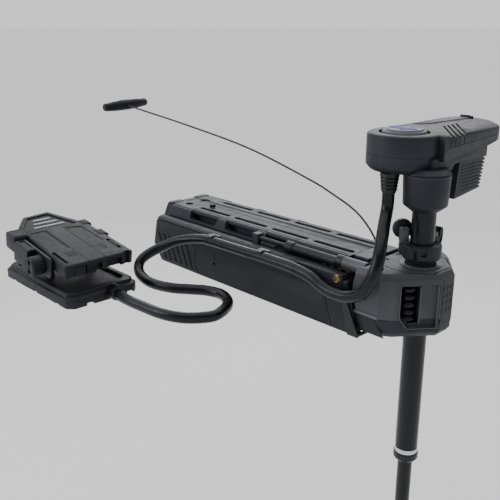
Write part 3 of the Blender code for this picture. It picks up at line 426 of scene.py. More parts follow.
# ---- cords
CABLE_RADIUS = 0.01
ROPE_RADIUS = 0.0016
DECK_CABLE_ROUTE = [
    (-0.174, -0.285, 0.0122), (-0.148, -0.285, 0.0112), (-0.1135, -0.2825, 0.0105),
    (-0.06, -0.2771, 0.0105), (-0.0227, -0.2626, 0.0105), (0.0007, -0.2377, 0.0105),
    (0.0084, -0.2106, 0.0105), (-0.0127, -0.1677, 0.0105), (-0.052, -0.1464, 0.0105),
    (-0.0873, -0.153, 0.0105), (-0.1116, -0.1693, 0.0105), (-0.1434, -0.192, 0.0105),
    (-0.1872, -0.204, 0.0105), (-0.228, -0.199, 0.013), (-0.2508, -0.19, 0.0202),
    (-0.2568, -0.18, 0.0328), (-0.2536, -0.162, 0.0441), (-0.2397, -0.142, 0.0559),
    (-0.2157, -0.124, 0.0697), (-0.1881, -0.113, 0.078), (-0.1562, -0.106, 0.084),
    (-0.13, -0.1045, 0.0855), (-0.063, -0.1045, 0.0865), (0.003, -0.1045, 0.088),
    (0.045, -0.1045, 0.0882), (0.07, -0.1047, 0.0882), (0.09, -0.105, 0.0869),
]
FRONT_CABLE_ROUTE = [
    (0.0908, -0.105, 0.0868), (0.106, -0.1053, 0.0852), (0.1269, -0.106, 0.0815),
    (0.1469, -0.1065, 0.0735), (0.17, -0.107, 0.0685), (0.199, -0.107, 0.07),
    (0.2243, -0.1065, 0.08), (0.233, -0.1063, 0.087), (0.242, -0.106, 0.104),
]
HEAD_CABLE_ROUTE = [
    (0.2423, -0.106, 0.1046), (0.2495, -0.1055, 0.12), (0.25, -0.098, 0.138),
    (0.241, -0.08, 0.161), (0.227, -0.056, 0.183), (0.219, -0.04, 0.201),
    (0.218, -0.037, 0.215), (0.218, -0.037, 0.2288),
]
ROPE_ROUTE = [
    (0.2306, -0.066, 0.1197), (0.229, -0.0662, 0.13), (0.222, -0.068, 0.1588),
    (0.2022, -0.072, 0.1861), (0.1787, -0.076, 0.2047), (0.1415, -0.08, 0.2212),
    (0.098, -0.085, 0.2376), (-0.0285, -0.1, 0.2737), (-0.1788, -0.111, 0.2976),
    (-0.342, -0.12, 0.3175), (-0.3589, -0.1209, 0.3196),
]


def smooth_route(points, spacing):
    """Evenly spaced points on a smooth curve through the route's own points."""
    route = np.array(points)
    padded = np.vstack([2 * route[0] - route[1], route, 2 * route[-1] - route[-2]])
    fine = []
    for i in range(1, len(padded) - 2):
        before, start, end, after = padded[i - 1:i + 3]
        for t in np.linspace(0, 1, 16, endpoint=False):
            fine.append(0.5 * (2 * start + (end - before) * t
                               + (2 * before - 5 * start + 4 * end - after) * t ** 2
                               + (3 * start - before - 3 * end + after) * t ** 3))
    fine.append(route[-1])
    fine = np.array(fine)
    run = np.concatenate([[0], np.cumsum(np.linalg.norm(np.diff(fine, axis=0), axis=1))])
    wanted = np.linspace(0, run[-1], max(4, round(run[-1] / spacing) + 1))
    return np.stack([np.interp(wanted, run, fine[:, k]) for k in range(3)], axis=1), run[-1]


def swept(path, radius, around=24, groove=0.0, lobes=3):
    """A tube along a path, with shallow lengthwise grooves between its lobes."""
    up = Vector((0, 0, 1))
    rings = []
    for i, place in enumerate(path):
        ahead = Vector(path[min(i + 1, len(path) - 1)]) - Vector(path[max(i - 1, 0)])
        ahead.normalize()
        side = ahead.cross(up)
        side.normalize()
        up = side.cross(ahead)
        ring = []
        for k in range(around):
            angle = 2 * pi * k / around
            reach = radius * (1 - groove * abs(cos(lobes * angle / 2)) ** 12)
            ring.append(Vector(place) + reach * (side * cos(angle) + up * sin(angle)))
        rings.append(ring)
    return skin_over(rings)


def make_cords():
    """The cable in three lengths, and the pull rope with its handle."""
    cables = (("deck_cable", DECK_CABLE_ROUTE), ("front_cable", FRONT_CABLE_ROUTE),
              ("head_cable", HEAD_CABLE_ROUTE))
    for name, route in cables:
        path, length = smooth_route(route, 0.008)
        body = "mount" if name == "deck_cable" else None
        mesh = swept(path, CABLE_RADIUS, 24, 0.05)
        cord = piece(name + "_jacket", mesh, body, CABLE, name, 50)
        if name == "front_cable":
            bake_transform(cord)
        if name == "head_cable":
            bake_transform(cord)

    path, length = smooth_route(ROPE_ROUTE, 0.012)
    rope = piece("pull_rope_braid", swept(path, ROPE_RADIUS, 10), None, ROPE, "pull_rope", 60)
    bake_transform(rope)
    low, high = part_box("pull_handle")
    centre = (low + high) / 2
    length_y = high.y - low.y
    radius = (high.x - low.x) / 2
    grip = [(0.0, 0.5), (0.6, 0.5), (0.72, 0.475), (0.9, 0.28), (0.98, 0.08), (0.98, -0.08),
            (0.9, -0.28), (0.72, -0.475), (0.6, -0.5), (0.0, -0.5)]
    handle = turned([(r * radius, s * length_y) for r, s in grip], axis="Y", steps=40)
    for side in (-1, 1):
        hollow = block((-0.0052, side * 0.026 - 0.017, 0.0062), (0.0052, side * 0.026 + 0.017, 0.02), 0.002)
        handle = cut(handle, hollow)
    handle = moved(rounded(handle, 0.0006, 2), Matrix.Translation(centre) @ Matrix.Rotation(radians(2.3), 4,
                                                                                            "X"))
    grip_piece = piece("pull_handle_grip", handle, "mount", DARK, "pull_handle")


make_cords()


# ---- base
HINGE = (0.169, 0, 0.0886)
SIDES = ((-1, "near"), (1, "far"))


def make_rail():
    """Slotted casting with stepped sides, the sloping fascia down each side and its catches."""
    low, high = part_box("base_rail")
    top = high.z
    flange = high.y
    under = top - 0.009
    channel, wall, half = 0.036, 0.041, 0.052
    foot, shelf = 0.084, 0.0925
    right = [(channel, low.z), (wall, low.z), (wall, foot), (flange, foot), (flange, shelf - 0.002),
             (flange - 0.0015, shelf - 0.0005), (0.0575, shelf), (wall, shelf), (wall, under - 0.0006),
             (half - 0.0012, under), (half, under + 0.0015), (half, top - 0.0045),
             (half - 0.003, top - 0.0012), (half - 0.0085, top), (0.0165, top), (0.014, top - 0.0018)]
    inside = [(-channel, under - 0.004), (channel, under - 0.004)]
    left = [(-a, b) for a, b in reversed(right)]
    rail = prism(right + left + inside, "YZ", low.x, high.x)
    for row in (-1, 1):
        for i in range(4):
            middle = -0.204 + 0.104 * i
            outline = slot_outline(middle - 0.045, middle + 0.045, row * 0.031, 0.0105)
            rail = cut(rail, prism(outline, "XY", under - 0.02, top + 0.02))
        lip = slot_outline(-0.255, 0.15, row * 0.0445, 0.0016)
        rail = sunk(rail, lip, top, 0.001)
    rail = sunk(rail, slot_outline(-0.232, 0.085, 0.0, 0.0016), top, 0.003)
    rail = sunk(rail, [(0.129, -0.034), (0.145, -0.037), (0.145, -0.022)], top, 0.02)
    for x, y, r in ((-0.29, -0.028, 0.0085), (-0.288, 0.012, 0.0115)):
        rail = cut(rail, rod(r, top - 0.003, top + OVERSHOOT, (x, y, 0), steps=24))
    for side in (-1, 1):
        a, b = sorted((side * 0.0392, side * 0.08))
        rail = cut(rail, block((0.1505, a, -0.01), (0.17, b, under + 0.0012)))
    piece("rail_casting", rounded(rail, 0.0007, 2), "mount", GREY, "base_rail")
    liner = block((-0.26, -0.0355, 0.098), (0.148, 0.0355, 0.1002), 0.0004, 1)
    piece("rail_liner", liner, "mount", RUBBER)

    for side, tag in SIDES:
        section = [(side * 0.0523, 0.0928), (side * 0.0658, 0.0928), (side * 0.0655, 0.096),
                   (side * 0.056, 0.1122), (side * 0.0523, 0.1136)]
        fascia = prism(section, "YZ", -0.3165, 0.148, 0.0008, 2)
        for start, end in ((-0.249, -0.168), (-0.142, -0.055)):
            pocket = [(start - 0.006, 0.125), (start, 0.107), (start + 0.004, 0.0985),
                      (start + 0.011, 0.0965), (end - 0.006, 0.0965), (end, 0.101), (end + 0.003, 0.125)]
            fascia = cut(fascia, side_prism(pocket, side, 0.0522, 0.08))
        front = [(-0.036, 0.125), (-0.032, 0.107), (-0.028, 0.099), (-0.002, 0.098), (0.001, 0.0934),
                 (0.16, 0.0934), (0.16, 0.125)]
        fascia = cut(fascia, side_prism(front, side, 0.0522, 0.08))
        a, b = sorted((side * 0.0545, side * 0.0656))
        fascia = join(fascia, block((0.144, a, 0.093), (0.178, b, 0.0954), 0.0008, 2))
        piece("rail_fascia_" + tag, fascia, "mount", CHARCOAL)
        if side < 0:
            catches = []
            for x in (0.118, 0.135, 0.153, 0.169):
                tooth = [(x - 0.0035, 0.093), (x + 0.0035, 0.093), (x + 0.0022, 0.0953), (x - 0.003, 0.095)]
                catches.append(prism(tooth, "XZ", -0.0672, -0.061, 0.0005, 1))
            piece("rail_catches", merged(*catches), "mount", LIGHT)


def make_end_cap():
    """Rear cap with three grooves, and the small slotted knob on the rail."""
    low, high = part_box("rail_end_cap")
    top = high.z
    half = [(0.061, low.z), (0.064, 0.09), (0.0525, top - 0.003), (0.049, top), (0.02, top),
            (0.017, top - 0.0025)]
    outline = [(-0.061, low.z)] + half + [(-a, b) for a, b in reversed(half[1:])]
    cap = prism(outline, "YZ", low.x, high.x, 0.0025, 3)
    for z in (0.048, 0.058, 0.068):
        cap = cut(cap, block((low.x - 0.01, -0.046, z), (low.x + 0.0018, 0.046, z + 0.003), 0.0006, 1))
    piece("rear_cap", cap, "mount", CHARCOAL, "rail_end_cap")
    knob = turned([(0.0, top + 0.0052), (0.005, top + 0.0052), (0.0062, top + 0.004), (0.0062, top - 0.001),
                   (0.0, top - 0.001)], (-0.2355, -0.011, 0), steps=28)
    knob = cut(knob, block((-0.242, -0.0118, top + 0.0038), (-0.229, -0.0102, top + OVERSHOOT)))
    piece("rail_lock_knob", knob, "mount", DARK)


def make_panels():
    """Side panels: a rolled ledge, raked ribs at the rear, a shallow field and parting lines."""
    for side, tag in SIDES:
        low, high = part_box("side_panel_" + tag)
        inner, outer = sorted((abs(low.y), abs(high.y)))
        outline = [(-0.309, 0.0), (0.211, 0.0), (0.2, 0.05), (0.1912, 0.08), (0.189, 0.088),
                   (-0.3215, 0.088), (-0.3335, 0.034)]
        beyond = outer + OVERSHOOT
        panel = side_prism(outline, side, inner, outer, 0.003, 3)
        for i in range(6):
            x = -0.315 + 0.0175 * i
            groove = [(x, 0.062), (x + 0.0042, 0.062), (x + 0.0262, 0.0085), (x + 0.022, 0.0085)]
            panel = cut(panel, side_prism(groove, side, outer - 0.0012, beyond))
        field = [(-0.185, 0.064)] + arc((-0.15, 0.03), 0.048, 150, 205, 8) + [(-0.186, 0.004),
                 (0.15, 0.004), (0.137, 0.04), (0.135, 0.06)]
        panel = cut(panel, side_prism(field, side, outer - 0.0007, beyond))
        for x0, z0, x1, z1 in ((-0.1385, 0.062, -0.1345, 0.042), (0.142, 0.056, 0.16, 0.003),
                               (0.178, 0.06, 0.196, 0.003)):
            crack = [(x0 - 0.0005, z0), (x0 + 0.0005, z0), (x1 + 0.0005, z1), (x1 - 0.0005, z1)]
            panel = cut(panel, side_prism(crack, side, outer - 0.0018, beyond))
        panel = cut(panel, rod(0.0028, -0.004, 0.004, (-0.1385, side * outer, 0.035), "Y", 20))
        bolt = (HINGE[0], side * 0.0842, HINGE[2])
        panel = cut(panel, rod(0.0054, -0.03, 0.03, bolt, "Y", 28))
        piece("panel_" + tag, rounded(panel, 0.0004, 1, 40), "mount", PANEL,
              "side_panel_" + tag)
        plate = [(0.02, 0.087), (0.02, 0.09), (0.06, 0.0945), (0.1, 0.0965), (0.176, 0.0955),
                 (0.18, 0.09), (0.1775, 0.07), (0.15, 0.072), (0.09, 0.08)]
        plate = side_prism(plate, side, 0.076, 0.0942, 0.0016, 3)
        plate = cut(plate, rod(0.0058, -0.03, 0.03, bolt, "Y", 28))
        piece("pivot_plate_" + tag, plate, "mount", CHARCOAL)
        ledge = [(side * 0.0665, 0.0843), (side * 0.0752, 0.0843), (side * 0.0752, 0.0886),
                 (side * 0.0915, 0.0886), (side * 0.0915, 0.0905), (side * 0.086, 0.0945),
                 (side * 0.078, 0.0958), (side * 0.069, 0.093)]
        piece("ledge_" + tag, prism(ledge, "YZ", -0.319, 0.138, 0.001, 2), "mount", CHARCOAL)

    low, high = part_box("hinge_pin")
    for side, tag in SIDES:
        y = low.y if side < 0 else high.y
        rim = [(0.0044, -0.001), (0.0044, -0.0019), (0.0052, -0.0022), (0.0066, -0.0014), (0.0068, 0.0005),
               (0.0044, 0.0005)]
        washer = turned([(r, -side * h) for r, h in rim], (HINGE[0], y, HINGE[2]), "Y", 32, closed=True)
        piece("pivot_washer_" + tag, washer, "mount", BRASS)


def make_clips():
    """Hooks that hold the cable along the near panel."""
    for tag in ("rear", "front"):
        low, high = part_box("cable_clip_" + tag)
        middle = (low.x + high.x) / 2
        centre = (-0.1045, high.z - 0.0135)
        band = arc(centre, 0.0128, -12, 122, 20) + arc(centre, 0.0105, 122, -12, 20)
        hook = prism(band, "YZ", middle - 0.0065, middle + 0.0065, 0.0006, 1)
        root = block((middle - 0.0115, -0.096, centre[1] + 0.007),
                     (middle + 0.0115, -0.0905, centre[1] + 0.0105), 0.0007, 1)
        piece("clip_hook_" + tag, join(hook, root), "mount", LIGHT, "cable_clip_" + tag)


make_rail()
make_end_cap()
make_panels()
make_clips()


# ---- yoke
SHAFT_X = 0.261
YOKE_TOP = 0.115
YOKE_SEAM = 0.0405
YOKE_LOW = 0.01
YOKE_BORE = 0.0262
SPRING_Y = -0.064
CHAMFER_FOOT = Vector((0.267, -0.076, 0.0))
CHAMFER_ALONG = (Vector((0.314, -0.017, 0.0)) - CHAMFER_FOOT).normalized()


def stroke(points, width):
    """Outline of an open line of this width, mitred at its corners."""
    line = [Vector(point) for point in points]
    left = []
    right = []
    for i, point in enumerate(line):
        after = (line[i + 1] - point if i < len(line) - 1 else point - line[i - 1]).normalized()
        before = (point - line[i - 1] if i else after).normalized()
        normal = Vector((-before.y - after.y, before.x + after.x)).normalized()
        reach = width / 2 / max(0.5, normal.dot(Vector((-after.y, after.x))))
        left.append(tuple(point + normal * reach))
        right.append(tuple(point - normal * reach))
    return left + right[::-1]


def mirrored(points):
    """The same outline on the far side, in running order."""
    return [(x, -y) for x, y in reversed(points)]


def yoke_plan(inset, rear=0.196):
    """Outline of the yoke from above, with chamfered front corners."""
    half = [(rear, -0.088 + inset), (0.248 - inset * 0.3, -0.088 + inset),
            (0.267 - inset * 0.6, -0.076 + inset * 0.8), (0.314 - inset, -0.017 + inset * 0.35)]
    return half + mirrored(half)


def on_chamfer(mesh):
    """From a flat drawing (along, depth, height) onto the yoke's near chamfered face."""
    inward = Vector((-CHAMFER_ALONG.y, CHAMFER_ALONG.x, 0.0))
    turn = Matrix((CHAMFER_ALONG, inward, Vector((0, 0, 1)))).transposed().to_4x4()
    return moved(mesh, Matrix.Translation(CHAMFER_FOOT) @ turn)


def upright(*levels):
    """A lofted solid whose outlines lie in XZ, at the given depths along Y."""
    stand = Matrix(((1, 0, 0), (0, 0, 1), (0, 1, 0))).to_4x4()
    mesh = moved(lofted(*levels), stand)
    mesh.flip_normals()
    return mesh


def make_yoke():
    """Housing, window, nose, lower cover, top marks and the ring round the shaft."""
    rear = [(0.15, 0.0), (0.215, 0.0), (0.2035, 0.05), (0.1945, 0.079), (0.201, 0.104),
            (0.201, 0.15), (0.15, 0.15)]
    housing = lofted((yoke_plan(0.0), YOKE_SEAM), (yoke_plan(0.0), YOKE_TOP - 0.0085),
                     (yoke_plan(0.0065), YOKE_TOP))
    housing = rounded(housing, 0.001, 2)
    line = [(0.23, -0.05), (0.2735, -0.0525), (0.302, -0.0235)]
    housing = sunk(housing, stroke(line + mirrored(line), 0.0022), YOKE_TOP, 0.002)
    housing = cut(housing, prism(rear, "XZ", -0.12, 0.12), rod(0.0355, -0.054, 0.054, HINGE, "Y", 48),
                  block((0.19, SPRING_Y - 0.0125, 0.085), (0.209, SPRING_Y + 0.0125, 0.13)),
                  rod(YOKE_BORE, -0.01, 0.13, (SHAFT_X, 0, 0), steps=56))
    wide = [(0.009, 0.0405), (0.025, 0.0215), (0.074, 0.0215), (0.074, 0.0985), (0.009, 0.0985)]
    narrow = [(0.013, 0.045), (0.0275, 0.0285), (0.069, 0.0285), (0.069, 0.0955), (0.013, 0.0955)]
    frame_cut = on_chamfer(upright((wide, -0.001), (narrow, 0.006)))
    opening = [(0.0135, 0.0455), (0.024, 0.032), (0.0435, 0.032), (0.0435, 0.0945), (0.0135, 0.0945)]
    through = on_chamfer(prism(opening, "XZ", -0.02, 0.04))
    edge = [(0.0112, 0.0965), (0.0112, 0.043), (0.0248, 0.0256), (0.0712, 0.0256), (0.0712, 0.0965)]
    edge = prism(stroke(edge, 0.0014), "XZ", 0.0004, 0.0032)
    lip = on_chamfer(merged(edge, block((0.0434, 0.004, 0.033), (0.0446, 0.0075, 0.094))))
    housing = cut(housing, frame_cut, through)
    arm_outline = [(0.212, 0.0735), (0.212, 0.104), *arc((HINGE[0], HINGE[2]), 0.0155, 90, 270, 17)]
    for side in (-1, 1):
        housing = join(housing, side_prism(arm_outline, side, 0.042, 0.053, 0.0012, 1))
        housing = cut(housing, rod(PIN_HOLE, -0.02, 0.02, (HINGE[0], side * 0.0475, HINGE[2]), "Y", 28))
    piece("yoke_body", housing, "yoke", YOKE, "yoke_housing")
    piece("yoke_window_lip", lip, "yoke", LIGHT)

    beads = []
    for z in (0.0885, 0.076, 0.0633, 0.0506, 0.04):
        bend = [(0.028 + 0.01 * cos(pi * k / 16), 0.0225 - 0.013 * sin(pi * k / 16), z) for k in range(17)]
        beads.append(swept(bend, 0.0049, 20))
    core = prism([(0.0195, 0.015), (0.023, 0.0125), (0.033, 0.0125), (0.0365, 0.015), (0.0365, 0.03),
                  (0.0195, 0.03)], "XY", 0.033, 0.0945)
    piece("yoke_gaiter", on_chamfer(merged(core, *beads)), "yoke", CABLE, "guide_coil", 50)

    facets = [prism([(-0.0155, 0.031), (0.0155, 0.031), (0.016, 0.034), (0.016, 0.1015), (0.0125, 0.1045),
                     (-0.0125, 0.1045), (-0.016, 0.1015), (-0.016, 0.034)], "YZ", 0.313, 0.3146, 0.0005, 1)]
    for i in range(4):
        for y in (-0.0105, 0.0, 0.0105):
            z = 0.052 + 0.012 * i
            dimple = [(y - 0.0042, z), (y, z + 0.005), (y + 0.0042, z), (y, z - 0.005)]
            facets.append(prism(dimple, "YZ", 0.3143, 0.3152, 0.0004, 1))
    piece("yoke_nose_facets", merged(*facets), "yoke", DARK)

    cover = lofted((yoke_plan(0.0075, 0.199), YOKE_LOW), (yoke_plan(0.001, 0.199), YOKE_LOW + 0.0085),
                   (yoke_plan(0.001, 0.199), YOKE_SEAM - GAP))
    cover = cut(rounded(cover, 0.001, 2), prism(rear, "XZ", -0.12, 0.12),
                rod(YOKE_BORE, -0.01, 0.13, (SHAFT_X, 0, 0), steps=56))
    low_wide = [(0.009, 0.046), (0.025, 0.0215), (0.074, 0.0215), (0.074, 0.046)]
    low_narrow = [(0.013, 0.046), (0.0275, 0.0285), (0.069, 0.0285), (0.069, 0.046)]
    cover = cut(cover, on_chamfer(upright((low_wide, -0.001), (low_narrow, 0.007))))
    low_opening = [(0.025, 0.046), (0.025, 0.0335), (0.0425, 0.0335), (0.0425, 0.046)]
    cover = cut(cover, on_chamfer(prism(low_opening, "XZ", -0.02, 0.04)))
    for x in (0.2165, 0.234):
        cover = cut(cover, block((x, -0.1, 0.0), (x + 0.008, 0.1, YOKE_LOW + 0.0026)))
    piece("yoke_belly", cover, "yoke", GREY, "yoke_lower_cover")
    for side, tag in SIDES:
        dark_side = [(0.199, 0.039), (0.24, 0.039), (0.262, 0.0125), (0.2145, 0.0125)]
        skirt = side_prism(dark_side, side, 0.0868, 0.0882, 0.0004, 1)
        piece("yoke_side_skirt_" + tag, skirt, "yoke", DARK)
        strip = [(0.2015, 0.0395), (0.246, 0.0395), (0.249, 0.043), (0.247, 0.0452), (0.201, 0.0452)]
        strip = side_prism(strip, side, 0.0872, 0.0892, 0.0006, 1)
        piece("yoke_side_strip_" + tag, strip, "yoke", LIGHT)

    chevrons = []
    for side in (-1, 1):
        for y in (0.013, 0.029):
            mark = [(0.2035, y), (0.212, y + 0.006), (0.2035, y + 0.012), (0.2058, y + 0.012),
                    (0.215, y + 0.006), (0.2058, y)]
            chevrons.append(prism([(a, side * b) for a, b in mark], "XY", YOKE_TOP - 0.0004,
                                  YOKE_TOP + 0.0012, 0.0004, 1))
    piece("yoke_top_chevrons", merged(*chevrons), "yoke", LIGHT)

    teeth = knurled((SHAFT_X, 0), 0.0326, 0.0318, 4, 2)
    ring = prism(teeth, "XY", YOKE_TOP + 0.0003, YOKE_TOP + 0.0014)
    ring = cut(ring, rod(0.0249, YOKE_TOP - 0.01, YOKE_TOP + OVERSHOOT, (SHAFT_X, 0, 0), steps=72))
    crown = [(0.0248, YOKE_TOP + 0.001), (0.0308, YOKE_TOP + 0.001), (0.0308, YOKE_TOP + 0.0018),
             (0.0302, YOKE_TOP + 0.0024), (0.0288, YOKE_TOP + 0.0024), (0.0285, YOKE_TOP + 0.0016),
             (0.0277, YOKE_TOP + 0.0016), (0.0273, YOKE_TOP + 0.003), (0.0256, YOKE_TOP + 0.003),
             (0.0248, YOKE_TOP + 0.0024)]
    crown = turned(crown, (SHAFT_X, 0, 0), steps=72, closed=True)
    piece("yoke_crown", merged(ring, crown), "yoke", LIGHT, "yoke_ring")


# ---- collar
def make_collar():
    """Depth collar with its ear, knob and latch lever."""
    axis = (SHAFT_X, 0, 0)
    profile = [(TUBE_BORE, 0.15), (0.0292, 0.15), (0.0306, 0.1492), (0.0312, 0.1478), (0.0312, 0.13),
               (0.0285, 0.1262), (0.024, 0.1255), (0.0236, 0.1245), (0.0236, 0.1125), (TUBE_BORE, 0.1125)]
    collar = turned(profile, axis, steps=72, closed=True)
    knob_turn = about(axis, 46.75)
    knob_centre = (-0.027, 0, 0.167)
    lug = moved(block((-0.0075, 0.025, 0.13), (0.0075, 0.036, 0.156), 0.0018, 2), Matrix.Translation(axis))
    collar = join(collar, lug)
    for angle, width, low, high in ((-73, 0.0046, 0.131, 0.144), (-49, 0.0085, 0.1365, 0.1458)):
        hole = block((0.0272, -width / 2, low), (0.04, width / 2, high))
        collar = cut(collar, moved(hole, about(axis, angle)))
    root = moved(block((-0.034, 0.0005, 0.1295), (-0.021, 0.0163, 0.1492), 0.002, 2), knob_turn)
    collar = join(collar, root)
    piece("collar_band", collar, "yoke", CHARCOAL, "depth_collar")
    ribs = []
    for angle in list(range(-132, -96, 7)) + list(range(60, 160, 7)):
        rib = block((0.0306, -0.0011, 0.131), (0.0322, 0.0011, 0.148), 0.0005, 1)
        ribs.append(moved(rib, about(axis, angle)))
    piece("collar_ribs", merged(*ribs), "yoke", CHARCOAL)

    ear = rounded(block((-0.0345, 0.0, 0.1485), (-0.0205, 0.0168, 0.1735)), 0.003, 3)
    ear = cut(ear, rod(0.0038, 0.004, 0.03, knob_centre, "Y", 28))
    seat = block((-0.029, -0.0045, 0.1488), (-0.0215, 0.001, 0.1522), 0.001, 2)
    bridge = moved(block((-0.0065, 0.0205, 0.1495), (0.0065, 0.0355, 0.163), 0.0012, 2),
                   Matrix.Translation(axis))
    piece("collar_ear", merged(moved(merged(ear, seat), knob_turn), bridge), "yoke", LIGHT)
    lobes = knurled((knob_centre[0], knob_centre[2]), 0.0163, 0.0158, 6, 3)
    knob = prism(lobes, "XZ", 0.0205, 0.0285, 0.0005, 1)
    cap = turned([(0.0, 0.028), (0.0152, 0.028), (0.0149, 0.029), (0.013, 0.0299), (0.0, 0.0299)],
                 knob_centre, "Y", 48)
    back = turned([(0.0, 0.0045), (0.0035, 0.0045), (0.0035, 0.0171), (0.0118, 0.0171), (0.014, 0.0184),
                   (0.0152, 0.0208), (0.0, 0.0208)], knob_centre, "Y", 48)
    piece("collar_knob_grip", moved(join(knob, cap, back), knob_turn), "collar_knob", CHARCOAL,
          "depth_knob")

    outline = [(0.0365, 0.15), (0.0385, 0.159), (0.04, 0.168), (0.042, 0.1692), (0.0445, 0.169),
               (0.047, 0.1672), (0.0482, 0.164), (0.0488, 0.158), (0.0485, 0.15), (0.047, 0.144),
               (0.045, 0.14), (0.0425, 0.1405), (0.0442, 0.1455), (0.045, 0.151), (0.0449, 0.156),
               (0.0438, 0.1588), (0.0425, 0.155), (0.0415, 0.15), (0.0395, 0.144), (0.0365, 0.142)]
    lever = prism(outline, "YZ", SHAFT_X - 0.007, SHAFT_X + 0.007, 0.0007, 2)
    piece("collar_latch_lever", lever, "lever", DARK, "collar_lever")


# ---- head
DRUM = (0.214, 0, 0)
DRUM_RADIUS = 0.0575
HEAD_LOW = 0.262
HEAD_SEAM = 0.288
HEAD_TOP = 0.32
WING_SEAM = 0.299
SKIRT_LOW = 0.2717
WING_NEAR = 0.283
WING_FAR = 0.16


def wing_plan(inset=0.0):
    """Outline of the head's wing from above."""
    return [(DRUM[0], 0.0072 + inset), (WING_NEAR - inset, 0.0075 + inset), (WING_NEAR - inset, 0.158),
            (WING_NEAR - inset - 0.003, 0.173), (WING_NEAR - 0.01 - inset, 0.186 - inset / 2),
            (WING_NEAR - 0.038 - inset, 0.216 - inset), (WING_NEAR - 0.056 - inset, 0.227 - inset),
            (WING_NEAR - 0.074 - inset, 0.233 - inset), (WING_FAR + 0.025 + inset, 0.234 - inset),
            (WING_FAR + 0.006 + inset, 0.22 - inset), (WING_FAR + inset, 0.195), (WING_FAR + inset, 0.021)]


def beyond_seam(lift, beyond):
    """Everything on one side of the stepped seam round the head."""
    return [(-0.1, HEAD_SEAM + lift), (0.006, HEAD_SEAM + lift), (0.012, WING_SEAM + lift),
            (0.26, WING_SEAM + 0.0113 + lift), (0.26, beyond), (-0.1, beyond)]


